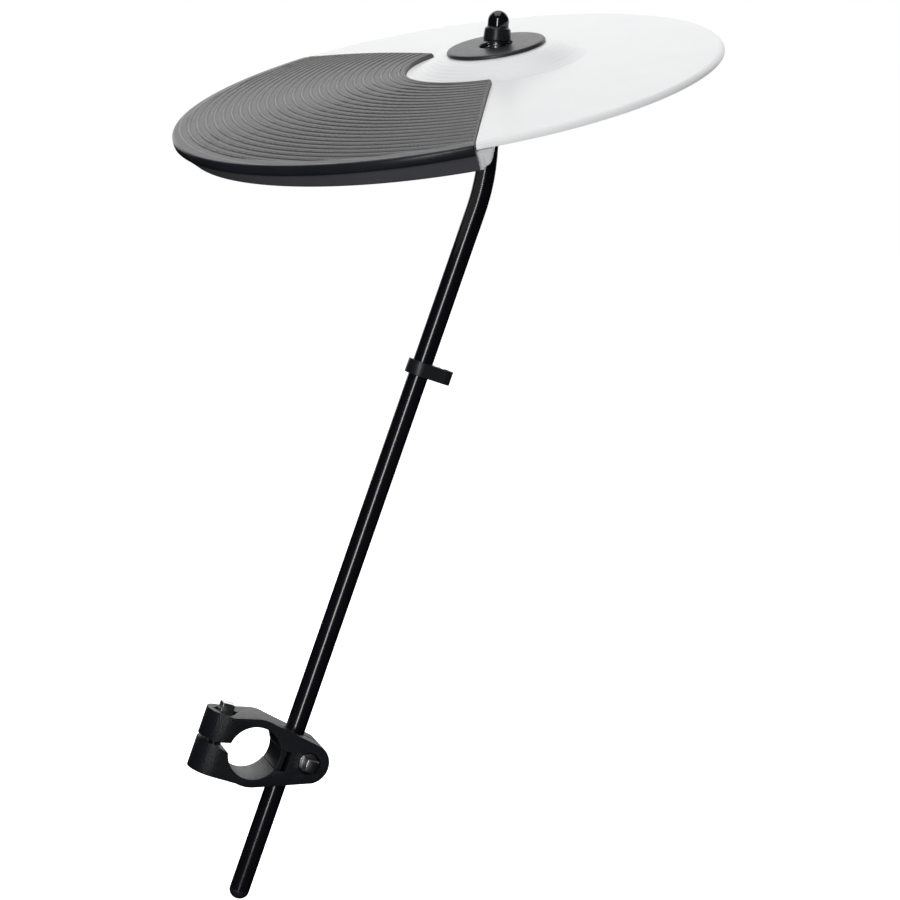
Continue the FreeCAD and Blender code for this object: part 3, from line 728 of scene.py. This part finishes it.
def shell_angles():
    """Spokes: even steps, with one spoke exactly on each side of the sector."""
    white = [CUT + (2 * math.pi - 2 * CUT) * i / WHITE_SPOKES for i in range(WHITE_SPOKES + 1)]
    dark = [-CUT + 2 * CUT * i / DARK_SPOKES for i in range(1, DARK_SPOKES)]
    return white + dark


def shell_radii(angle):
    start = SECTOR_IN - 0.3
    end = rim_at(angle)
    inner = [HOLE_R + (start - HOLE_R) * i / INNER_ROWS for i in range(INNER_ROWS + 1)]
    outer = [start + (end - ROLL_R - start) * i / OUTER_ROWS for i in range(1, OUTER_ROWS + 1)]
    roll = [end - ROLL_R + ROLL_R * math.sin(math.radians(90 * i / 7)) for i in range(1, 8)]
    return inner + outer + roll


def shell_height(r, angle, i):
    z = shell_top(r, angle)
    over = r - (rim_at(angle) - ROLL_R)
    if over > 0:
        z -= ROLL_R - math.sqrt(max(ROLL_R ** 2 - over ** 2, 0.0))
    return z


def bell_zone(r, angle, i):
    return smooth((r - 22.5) / 2) * (1 - smooth((r - 41.5) / 2))


print("spokes:", len(shell_angles()), "rows:", len(shell_radii(math.pi)))

# %% White shell
shell = polar_sheet("white_shell", shell_radii, shell_angles(), shell_height, WHITE, bell_zone,
                    wrap=True, skip=lambda j, i: j >= WHITE_SPOKES and i >= INNER_ROWS)
apply_tree(shell, GROOVES, Pitch=4.4, First=26.0, Depth=0.30, Finish=WHITE)
face_up(shell)
thicken(shell, SHELL_T * MM)
bevel(shell, 0.7 * MM, 3, 50)
shell.data.transform(PAD)
own(shell, "pad", "white_shell", "pad_shell")
print("white shell:", len(shell.data.polygons), "faces")


# %% [markdown]
# ## Tray and walls under the sector
# The sector sits on a deeper tray whose outer wall slopes in, and the white end walls stay
# visible beside the rubber as small teeth. The tray is a sheet along each spoke, thickened
# inwards. Each end wall is a drawn outline with thickness.

# %% Tray
TRAY_DROP = 3.6
TRAY_T = 2.4
TRAY_IN = 41.6
TRAY_EXTRA = 0.012
BOX_DEPTH = 11.2


def tray_path(angle):
    """Points (r, z) from the bell outwards and down the sloping wall."""
    edge = rim_at(angle, PAD_R - 2.4)
    low = rim_at(angle, PAD_R - 7.4)
    radii = [TRAY_IN + (edge - 2 - TRAY_IN) * i / 24 for i in range(25)]
    path = [(r, rubber_z(r) - TRAY_DROP) for r in radii]
    top_z = rubber_z(edge) - TRAY_DROP - 1.0
    end_z = RIM_Z - BOX_DEPTH + 0.2
    path += [(edge - 0.5, top_z + 0.6)]
    path += [(edge + (low - edge) * i / 5, top_z + (end_z - top_z) * i / 5) for i in range(6)]
    return path


def make_tray():
    half = SECTOR + TRAY_EXTRA
    angles = [-half + 2 * half * i / 90 for i in range(91)]
    paths = {a: tray_path(a) for a in angles}
    sheet = polar_sheet("sector_tray", lambda a: [p[0] for p in paths[a]], angles,
                        lambda r, a, i: paths[a][i][1], WHITE)
    face_up(sheet)
    thicken(sheet, TRAY_T * MM)
    bevel(sheet, 0.5 * MM, 2, 50)
    sheet.data.transform(PAD)
    return own(sheet, "pad", "white_shell", "pad_shell")


tray = make_tray()
print("tray:", len(tray.data.polygons), "faces")

# %% [markdown]
# ### End walls and teeth
# A wall closes the tray along each straight side. It is a flat outline with thickness. Outside
# its end, a tapered lug shows below the rim, and its wide bevel gives the soft corner.

# %% End walls
WALL_T = 2.3
WALL_IN = 42


def make_end_wall(side):
    """White wall along one straight side of the sector, ending in a rounded tooth."""
    angle = side * SECTOR
    end = rim_at(angle)
    radii = [WALL_IN + (end - 4.0 - WALL_IN) * i / 16 for i in range(17)]
    top = [(r, rubber_z(r) - 2.6) for r in radii]
    low_z = RIM_Z - BOX_DEPTH + 0.6
    tooth = [(end - 2.6, rubber_z(end) - 3.6), (end - 4.6, low_z + 4.0)]
    tooth += arc(end - 8.8, low_z + 3.0, 3.0, -10, -90, 5)
    keel = [(end - 18.0, low_z), (60.0, -11.4), (46.0, -9.8), (WALL_IN, -8.6)]
    outline = top + tooth + keel
    out_dir = Vector((-math.sin(angle), math.cos(angle), 0)) * side
    along = Vector((math.cos(angle), math.sin(angle), 0))
    verts = []
    for shift in (WIDER + 0.1, WIDER + 0.1 + WALL_T):
        verts += [tuple((along * r + out_dir * shift + Vector((0, 0, z))) * MM) for r, z in outline]
    n = len(outline)
    faces = [tuple(range(n)), tuple(range(2 * n - 1, n - 1, -1))]
    faces += [(i, n + i, n + (i + 1) % n, (i + 1) % n) for i in range(n)]
    label = "sector_wall_right" if side > 0 else "sector_wall_left"
    wall = to_object(label, verts, faces, PAD, WHITE)
    clean(wall)
    bevel(wall, 0.6 * MM, 3, 40)
    return own(wall, "pad", "white_shell", "pad_shell")


print("end walls", WALL_T, "mm thick")


# %% Teeth
def make_tooth(side):
    """Tapered lug where the tray's sloping wall shows past the rubber's end."""
    low_z = RIM_Z - BOX_DEPTH + 1.4
    top_z = RIM_Z - 1.2
    start = WIDER + 0.15
    levels = ((top_z, 7.6, PAD_R - 1.6), (low_z + 1.6, 5.0, PAD_R - 6.3), (low_z, 3.4, PAD_R - 6.9))
    verts = []
    for z, width, r_disc in levels:
        for depth in (0.0, 5.5):
            for across in (start, start + width):
                r = rim_at(side * SECTOR, r_disc) - depth
                a = side * (SECTOR + math.asin(across / r))
                edge = rim_at(a, r_disc) - depth
                verts.append((edge * math.cos(a) * MM, edge * math.sin(a) * MM, z * MM))
    faces = [(0, 1, 3, 2), (8, 9, 11, 10)]
    for k in (0, 4):
        faces += [(k, k + 1, k + 5, k + 4), (k + 1, k + 3, k + 7, k + 5)]
        faces += [(k + 3, k + 2, k + 6, k + 7), (k + 2, k, k + 4, k + 6)]
    label = "sector_tooth_right" if side > 0 else "sector_tooth_left"
    tooth = to_object(label, verts, faces, PAD, WHITE)
    clean(tooth)
    bevel(tooth, 1.1 * MM, 5, 20)
    return own(tooth, "pad", "white_shell", "pad_shell")


for side in (-1, 1):
    make_end_wall(side)
    make_tooth(side)
print("end walls and teeth: 2 of each")


# %% [markdown]
# ## Playing rubber
# The rubber is one closed loop of profile points on each spoke: the grooved top, a rolled edge,
# a skirt that slopes in over the tray's wall, and the flat underside. Its two straight sides are
# rounded by lowering the spokes near them. The groove tree then sinks the rings.

# %% Sizes of the rubber
TOP_ROWS = 364
SPOKES = 171
UNDER_ROWS = 20
EDGE_GAPS = (0.0, 0.12, 0.35, 0.7, 1.1)
ROUND_R = 0.8
ROLL = 1.3
BAND = 4.6
RUBBER_T = 2.6
RUBBER_OUT = PAD_R + 1.6
INNER_ROUND = 1.1
MARGIN = 6.5
LEAD_IN = 2.6


def spoke_angle(index, count, r):
    """Angle of a spoke at a radius: spokes near the straight sides keep a fixed distance."""
    last = len(EDGE_GAPS) - 1
    if index <= last:
        return -(SECTOR - math.asin((EDGE_GAPS[index] - WIDER) / r))
    if index >= count - 1 - last:
        return SECTOR - math.asin((EDGE_GAPS[count - 1 - index] - WIDER) / r)
    inner = (index - last) / (count - 1 - 2 * last)
    gap = math.asin((EDGE_GAPS[-1] - WIDER) / r)
    return (SECTOR - gap) * (2 * inner - 1)


print("rubber out to", RUBBER_OUT, "mm, edge band", BAND, "mm")


# %% Profile along one spoke
def top_points(angle):
    """The inner edge, the grooved top and the rolled outer edge, as (r, z, on_top)."""
    first = SECTOR_IN
    z_first = rubber_z(first)
    flat_end = rim_at(angle, RUBBER_OUT) - ROLL
    z_end = rubber_z(flat_end)
    points = [(first, z_first - RUBBER_T, 0), (first, z_first - 1.3, 0)]
    for t in (20, 45, 70):
        turn = math.radians(t)
        points.append((first + INNER_ROUND * (1 - math.cos(turn)),
                       z_first - INNER_ROUND * (1 - math.sin(turn)), 0))
    start = first + 1.2
    for i in range(TOP_ROWS + 1):
        r = start + (flat_end - start) * i / TOP_ROWS
        points.append((r, rubber_z(r), 1))
    for t in (15, 30, 45, 60, 75, 90):
        turn = math.radians(t)
        points.append((flat_end + ROLL * math.sin(turn), z_end - ROLL * (1 - math.cos(turn)), 0))
    return points, flat_end + ROLL, z_end


def rubber_loop(angle):
    """Closed list of (r, z, on_top) points along one spoke."""
    loop, end, z_end = top_points(angle)
    band_z = z_end - BAND
    loop += [(end + 0.05, z_end - 2.2, 0), (end, z_end - 3.2, 0)]
    loop += [(end - 0.2, z_end - 4.0, 0), (end - 0.7, band_z, 0)]
    low_z = RIM_Z - BOX_DEPTH + 0.5
    low_r = rim_at(angle, PAD_R - 4.8)
    start_r = end - 1.3
    start_z = band_z - 0.25
    loop += [(start_r + (low_r - start_r) * i / 5, start_z + (low_z + 0.5 - start_z) * i / 5, 0)
             for i in range(6)]
    loop += [(low_r - 0.5, low_z, 0), (low_r - 1.3, low_z, 0), (low_r - 1.7, low_z + 0.5, 0)]
    wall_r = rim_at(angle, PAD_R - 1.6)
    wall_z = rubber_z(wall_r) - RUBBER_T - 0.3
    loop += [(low_r - 1.6 + (wall_r - low_r + 1.6) * t, low_z + 0.5 + (wall_z - low_z - 0.5) * t, 0)
             for t in (0.5, 1.0)]
    under_r = wall_r - 2
    for i in range(UNDER_ROWS):
        r = under_r + (SECTOR_IN + 0.6 - under_r) * i / UNDER_ROWS
        loop.append((r, rubber_z(r) - RUBBER_T, 0))
    return loop


print("points on one spoke:", len(rubber_loop(0.0)))


# %% Rubber mesh
def side_round(gap):
    """How far the top drops at a distance from a straight side."""
    dip = max(ROUND_R - gap, 0.0)
    return ROUND_R - math.sqrt(max(ROUND_R ** 2 - dip ** 2, 0.0))


def make_rubber():
    verts, faces, hub_radius, zone = [], [], [], []
    for index in range(SPOKES):
        loop = rubber_loop(spoke_angle(index, SPOKES, 110.0))
        for r, z, top in loop:
            a = spoke_angle(index, SPOKES, r)
            gap = r * math.sin(SECTOR - abs(a)) + WIDER
            if top or z > rubber_z(r) - 1.4:
                z -= side_round(gap)
            verts.append((r * math.cos(a) * MM, r * math.sin(a) * MM, z * MM))
            hub_radius.append(r)
            rim = rim_at(a, RUBBER_OUT)
            inside = smooth((r - FIRST_MM + LEAD_IN) / 0.8) * (1 - smooth((r - rim + MARGIN) / 1.2))
            zone.append(inside * smooth((gap - 0.5) / 0.9) * top)
    rows = len(loop)
    for j in range(SPOKES - 1):
        here, there = j * rows, (j + 1) * rows
        for i in range(rows):
            n = (i + 1) % rows
            faces.append((here + i, here + n, there + n, there + i))
    faces.append(tuple(range(rows)))
    faces.append(tuple(range(SPOKES * rows - 1, (SPOKES - 1) * rows - 1, -1)))
    obj = to_object("grooved_rubber", verts, faces, Matrix.Identity(4), RUBBER)
    set_point_values(obj, hub_radius=hub_radius, groove_zone=zone)
    return obj


rubber = make_rubber()
apply_tree(rubber, GROOVES, Pitch=PITCH_MM, First=FIRST_MM, Depth=0.6, Land=0.5, Finish=RUBBER)
clean(rubber)
print("rubber:", len(rubber.data.polygons), "faces")

# %% [markdown]
# ### Three finishes on one rubber
# The top, the rolled edge and the skirt are one moulding with different textures. Each face
# takes its finish from how far below the top it lies.

# %% Finishes of the rubber
BAND_IN = 1.15
SKIRT_FROM = 2.0


def paint_rubber(obj):
    """Glossy rolled edge and dull skirt, by the height below the top surface."""
    mesh = obj.data
    mesh.materials.append(RUBBER_EDGE)
    mesh.materials.append(RUBBER_SIDE)
    for poly in mesh.polygons:
        c = poly.center / MM
        r = math.hypot(c.x, c.y)
        a = math.atan2(c.y, c.x)
        rim = rim_at(a, RUBBER_OUT)
        below = rubber_z(r) - c.z
        if r > rim - BAND_IN and below < BAND + 0.2:
            poly.material_index = 1
        elif below > SKIRT_FROM:
            poly.material_index = 2


paint_rubber(rubber)
sharpen(rubber, 60)
rubber.data.transform(PAD)
own(rubber, "pad", "pad_rubber", "playing_pad")
print("finishes on the rubber:", len(rubber.data.materials))


# %% [markdown]
# ## Centre plate and acorn nut
# The plate is a thick rubber washer with a fully rounded edge. The nut is in two finishes: a
# dull lower collar with soft flats, and a glossy dome.

# %% Centre plate
PLATE_R = 23.2
PLATE_TOP = 3.6
PLATE_HOLE = 7.8
plate_profile = ([(PLATE_HOLE, BELL_TOP + 0.05), (PLATE_R - 0.4, BELL_TOP + 0.05)]
                 + arc(PLATE_R - 0.4, BELL_TOP + 0.45, 0.4, -90, 0, 4)
                 + arc(PLATE_R - 1.2, PLATE_TOP - 1.2, 1.2, 10, 90, 7)
                 + [(16, PLATE_TOP), (10, PLATE_TOP)]
                 + arc(PLATE_HOLE + 0.5, PLATE_TOP - 0.5, 0.5, 90, 180, 4))
plate = lathe("centre_plate_disc", plate_profile, PAD, PLATE, 128)
own(plate, "pad", "black_rubber", "centre_plate")
print("plate:", len(plate.data.polygons), "faces")

# %% [markdown]
# ### Acorn nut
# Three turned pieces on the stud. The collar's radius is drawn towards a hexagon, so that its
# flats stay soft, which a cylinder cut with six planes would not give.

# %% Acorn nut
NUT_Z = 5.0
washer_profile = arc(6.1, NUT_Z - 0.4, 0.3, -90, 90, 6) + [(4.1, NUT_Z - 0.1), (4.1, NUT_Z - 0.7)]
washer = lathe("nut_washer_ring", washer_profile, STUD, SATIN, 72)
own(washer, "nut_travel", "satin_plastic", "nut_washer")


def soft_hexagon(r, z, angle):
    """A circle drawn slightly towards a hexagon, strongest low on the collar."""
    flat = abs(math.cos(3 * angle))
    amount = 0.035 * smooth((r - 4.6) / 1.5)
    return r * (1 - amount + amount * flat)


collar_profile = ([(4.15, NUT_Z)] + arc(6.0, NUT_Z + 0.5, 0.5, -90, 0, 4)
                  + [(6.45, NUT_Z + 1.6), (6.15, NUT_Z + 5.0)]
                  + arc(5.5, NUT_Z + 5.2, 0.6, 0, 60, 4)
                  + [(5.15, NUT_Z + 6.45), (4.15, NUT_Z + 6.45)])
collar = lathe("nut_collar_body", collar_profile, STUD, SATIN, 120, soft_hexagon)
own(collar, "nut_turning", "satin_plastic", "nut_collar")
DOME_BASE = NUT_Z + 6.5
dome_profile = ([(3.9, DOME_BASE), (4.7, DOME_BASE)] + arc(4.7, DOME_BASE + 0.3, 0.3, -90, 0, 3)
                + arc(0, DOME_BASE + 2.6, 5.0, 0, 89.5, 16)
                + [(0.02, DOME_BASE + 4.0), (3.9, DOME_BASE + 3.2)])
dome = lathe("nut_dome", dome_profile, STUD, GLOSS, 96)
own(dome, "nut_turning", "gloss_black", "cap_nut")
print("nut from", NUT_Z, "to", DOME_BASE + 7.6, "mm above the hub")

# %% [markdown]
# ## Rod
# One bar: a long straight part, a gentle bend and a short upright, then the thinner threaded
# stud. The centre line is worked out from the lean and the bend's radius, and the sweep tree
# puts the round section on it.

# %% Rod
ROD_R = 4.8
BEND_R = 105.0
FOOT_TO_BEND = 288.5
ROD_BELOW = 68.0
SHOULDER = -21.0
STUD_TOP = 13.7


def rod_line():
    tangent = BEND_R * math.tan(LEAN / 2)
    corner = ROD_FOOT + ROD_DIR * FOOT_TO_BEND * MM
    low = ROD_FOOT - ROD_DIR * ROD_BELOW * MM
    bend_end = corner + Vector((0, 0, tangent * MM))
    centre = bend_end - Vector((BEND_R * MM, 0, 0))
    points = [low + (corner - ROD_DIR * tangent * MM - low) * i / 12 for i in range(12)]
    for i in range(25):
        a = LEAN * (1 - i / 24)
        points.append(centre + Vector((math.cos(a), 0, -math.sin(a))) * BEND_R * MM)
    points.append(HUB + Vector((0, 0, SHOULDER * MM)))
    return points


rod = sweep("bent_rod", rod_line(), ROD_R * MM, PAINT, 64)
own(rod, "rod_turning", "rod_paint", "rod")
print("rod:", len(rod.data.polygons), "faces")

# %% [markdown]
# ### Stud and end plug
# Both are turned. The thread is a row of close rings, which at this size reads as a thread and
# stays a simple closed shape. The plug is a low dome on the rod's lower end.

# %% Stud and end plug
THREAD_PITCH = 1.25
THREAD_LOW = -3.0


def stud_profile():
    """Stud with a chamfered tip and the ridges of an M8 thread."""
    points = [(0.02, SHOULDER), (4.0, SHOULDER), (4.0, THREAD_LOW)]
    for i in range(int((STUD_TOP - 1.0 - THREAD_LOW) / THREAD_PITCH)):
        z = THREAD_LOW + i * THREAD_PITCH
        points += [(3.99, z + 0.15), (3.45, z + THREAD_PITCH / 2), (3.99, z + THREAD_PITCH - 0.15)]
    return points + [(3.3, STUD_TOP), (0.02, STUD_TOP)]


stud = lathe("rod_stud", stud_profile(), STUD, ZINC, 48)
own(stud, "rod_turning", "rod_paint", "rod")

TIP_H = 4.4
dome_turns = [math.radians(t) for t in range(4, 90, 6)]
tip_profile = ([(0.02, 0.15), (4.4, 0.15), (4.78, -0.1)]
               + [(ROD_R * math.cos(t), -0.3 - TIP_H * math.sin(t)) for t in dome_turns]
               + [(0.02, -4.72)])
TIP = CLAMP @ Matrix.Translation(CLAMP.inverted() @ (ROD_FOOT - ROD_DIR * ROD_BELOW * MM))
tip = lathe("rod_tip_dome", tip_profile, TIP, SATIN, 64)
own(tip, "rod_sliding", "satin_plastic", "rod_tip")
print("stud:", len(stud.data.polygons), "faces, plug:", len(tip.data.polygons), "faces")

# %% [markdown]
# ## Moulded and machined small parts
# The clamp, the clip, the bolts and the jack box keep their engineering shape. A merged copy
# gets rounded edges, because a perfectly sharp edge never catches the light.

# %% Small parts from the engineering mesh
SOFT = [
    ("clamp_body", "clamp", "black_moulding", GRAINED, 0.9),
    ("pressure_insert", "clamp", "satin_plastic", SATIN, 0.25),
    ("cable_clip", "clip", "satin_plastic", SATIN, 0.35),
    ("jaw_bolt", "jaw_bolt_turning", "bolt_chrome", CHROME, 0.8),
    ("rod_bolt", "rod_bolt_turning", "bolt_chrome", CHROME, 0.8),
    ("jaw_washer", "jaw_bolt_travel", "bolt_chrome", CHROME, 0.15),
    ("rod_bolt_washer", "rod_bolt_travel", "bolt_chrome", CHROME, 0.15),
    ("jaw_nut", "clamp", "nut_zinc", ZINC, 0.3),
    ("rod_nut", "clamp", "nut_zinc", ZINC, 0.3),
    ("jack_box", "pad", "black_moulding", GRAINED, 0.6),
    ("jack_socket", "pad", "satin_plastic", SATIN, 0.2),
    ("jack_nut", "pad", "bolt_chrome", CHROME, 0.25),
    ("bell_boss", "pad", "black_moulding", GRAINED, 0.3),
    ("seat_cup", "rod_turning", "satin_plastic", SATIN, 0.4),
    ("seat_washer", "rod_turning", "nut_zinc", ZINC, 0.15),
    ("rocker_felt", "rocker", "felt_grey", FELT, 0.4),
    ("sensor_tape", "pad", "foam_black", FOAM, 0.15),
    ("piezo_disc", "pad", "piezo_brass", BRASS, 0.08),
    ("piezo_ceramic", "pad", "ceramic_white", CERAMIC, 0.08),
]
SHARP = 40
for node, body, slot, material, width in SOFT:
    own(softened(node, material, width * MM, SHARP), body, slot, node)
print("softened parts:", len(SOFT))

# %% [markdown]
# ## Screws under the pad
# The screws are pan heads with a cross recess. One is turned and pressed, and the point tree
# sets a copy at each screw's place.


# %% Screws
def pan_screw(name, head_r, head_h, shank_r, shank_l):
    """Pan-head screw that points up, its seat at z = 0, with a cross recess in the head."""
    recess_r = head_r * 0.62
    shank = [(0.02, shank_l), (shank_r, shank_l - 0.4), (shank_r, 0.0)]
    head = [(head_r - 0.2, 0.0), (head_r, -0.25)]
    for t in range(15, 90, 12):
        turn = math.radians(t)
        head.append((head_r * math.cos(turn), -0.3 - (head_h - 0.3) * math.sin(turn)))
    rings = 7
    cap = [(recess_r * (1 - i / rings) + 0.02, -head_h + 0.02) for i in range(1, rings)]
    profile = shank + head + cap + [(0.02, -head_h)]
    obj = lathe(name, profile, Matrix.Identity(4), ZINC, 48)
    for v in obj.data.vertices:
        x, y, z = v.co / MM
        in_cross = min(abs(x), abs(y)) < head_r * 0.14
        if z < -head_h * 0.6 and math.hypot(x, y) < recess_r and in_cross:
            v.co.z += head_h * 0.45 * MM
    return obj


print("screw maker:", pan_screw.__name__)

# %% Screws of the boss
BOSS_RING = 18.2
seat = BELL_TOP - SHELL_T - 2.6
turns = [math.radians(60 + 120 * i) for i in range(3)]
ring_points = [(BOSS_RING * math.cos(t) * MM, BOSS_RING * math.sin(t) * MM, seat * MM) for t in turns]
boss_screw = pan_screw("boss_screw", 2.7, 1.55, 1.45, 4.4)
screws = set_on_points("boss_screw_set", boss_screw, ring_points, ZINC, PAD)
own(screws, "pad", "nut_zinc", "boss_screws")
print("boss screws:", len(ring_points))

# %% Screws of the jack box
BOX_X = (-58.0, -40.0)
BOX_Y = 18.6
BOX_SEAT = -10.9
box_points = [(x * MM, y * MM, BOX_SEAT * MM) for x in BOX_X for y in (-BOX_Y, BOX_Y)]
box_screw = pan_screw("box_screw", 2.6, 1.55, 1.35, 3.0)
screws = set_on_points("box_screw_set", box_screw, box_points, ZINC, PAD)
own(screws, "pad", "nut_zinc", "box_screws")
print("box screws:", len(box_points))

# %% [markdown]
# ## Pieces that keep their engineering shape
# The foam sheet and the leads are plain shapes, so only their finish changes.

# %% Finishes on kept nodes
for node, material in (("cushion_sheet", FOAM), ("sensor_wires", WIRE_RED)):
    obj = frame["nodes"][node]
    obj.data.materials.clear()
    obj.data.materials.append(material)
print("kept shapes: cushion_sheet, sensor_wires")

# %% [markdown]
# ## Studio
# A pale floor well below the hanging clamp and a white surround. There is one large soft light
# behind, one above, and a tall strip on the left for the rod's highlight. Gloss black shows
# everything round it, so the floor and the surround are hidden from reflections.


# %% Lights
def soft_light(name, place, size, power, target):
    data = bpy.data.lights.new(name, "AREA")
    data.shape = "RECTANGLE"
    data.size, data.size_y = size
    data.energy = power
    obj = bpy.data.objects.new(name, data)
    bpy.context.scene.collection.objects.link(obj)
    obj.location = place
    obj.visible_camera = False
    obj.rotation_euler = (Vector(target) - Vector(place)).to_track_quat("-Z", "Y").to_euler()
    return obj


MIDDLE = Vector((0.03, 0.0, 0.15))
soft_light("back_softbox", (0.55, 1.55, 0.95), (3.2, 1.9), 27, MIDDLE + Vector((0, 0, 0.1)))
soft_light("overhead", (-0.2, 0.1, 1.9), (1.8, 1.4), 10.5, MIDDLE)
soft_light("strip", (-0.76, -1.5, 0.5), (0.30, 1.5), 13, MIDDLE)
print("lights:", len(bpy.data.lights))

# %% Floor and surround
FLOOR_HALF = 6
floor_z = cad_box[0][2] - 0.25
corners = [(x * FLOOR_HALF, y * FLOOR_HALF, floor_z) for x, y in ((-1, -1), (1, -1), (1, 1), (-1, 1))]
paper = finish("studio_paper", grey(0.9), grey(0.91), 0.9, 0.05, 50, 0.0, glow=1.0)
floor = to_object("studio_floor", corners, [(0, 1, 2, 3)], Matrix.Identity(4), paper)
floor.visible_diffuse = False
floor.visible_glossy = False

world = bpy.data.worlds.new("studio")
bpy.context.scene.world = world
world.use_nodes = True
world.node_tree.nodes.clear()
b = Build(world.node_tree)
seen = b.node("ShaderNodeLightPath", out=0)
strength = seen * 0.66 + 0.34
sky = b.node("ShaderNodeBackground", inputs={"Color": WHITE_LIGHT, "Strength": strength})
b.node("ShaderNodeOutputWorld", inputs={"Surface": sky})
world.cycles_visibility.glossy = False
bpy.context.scene.view_settings.view_transform = "Standard"
print("floor at", round(floor_z, 3), "m")
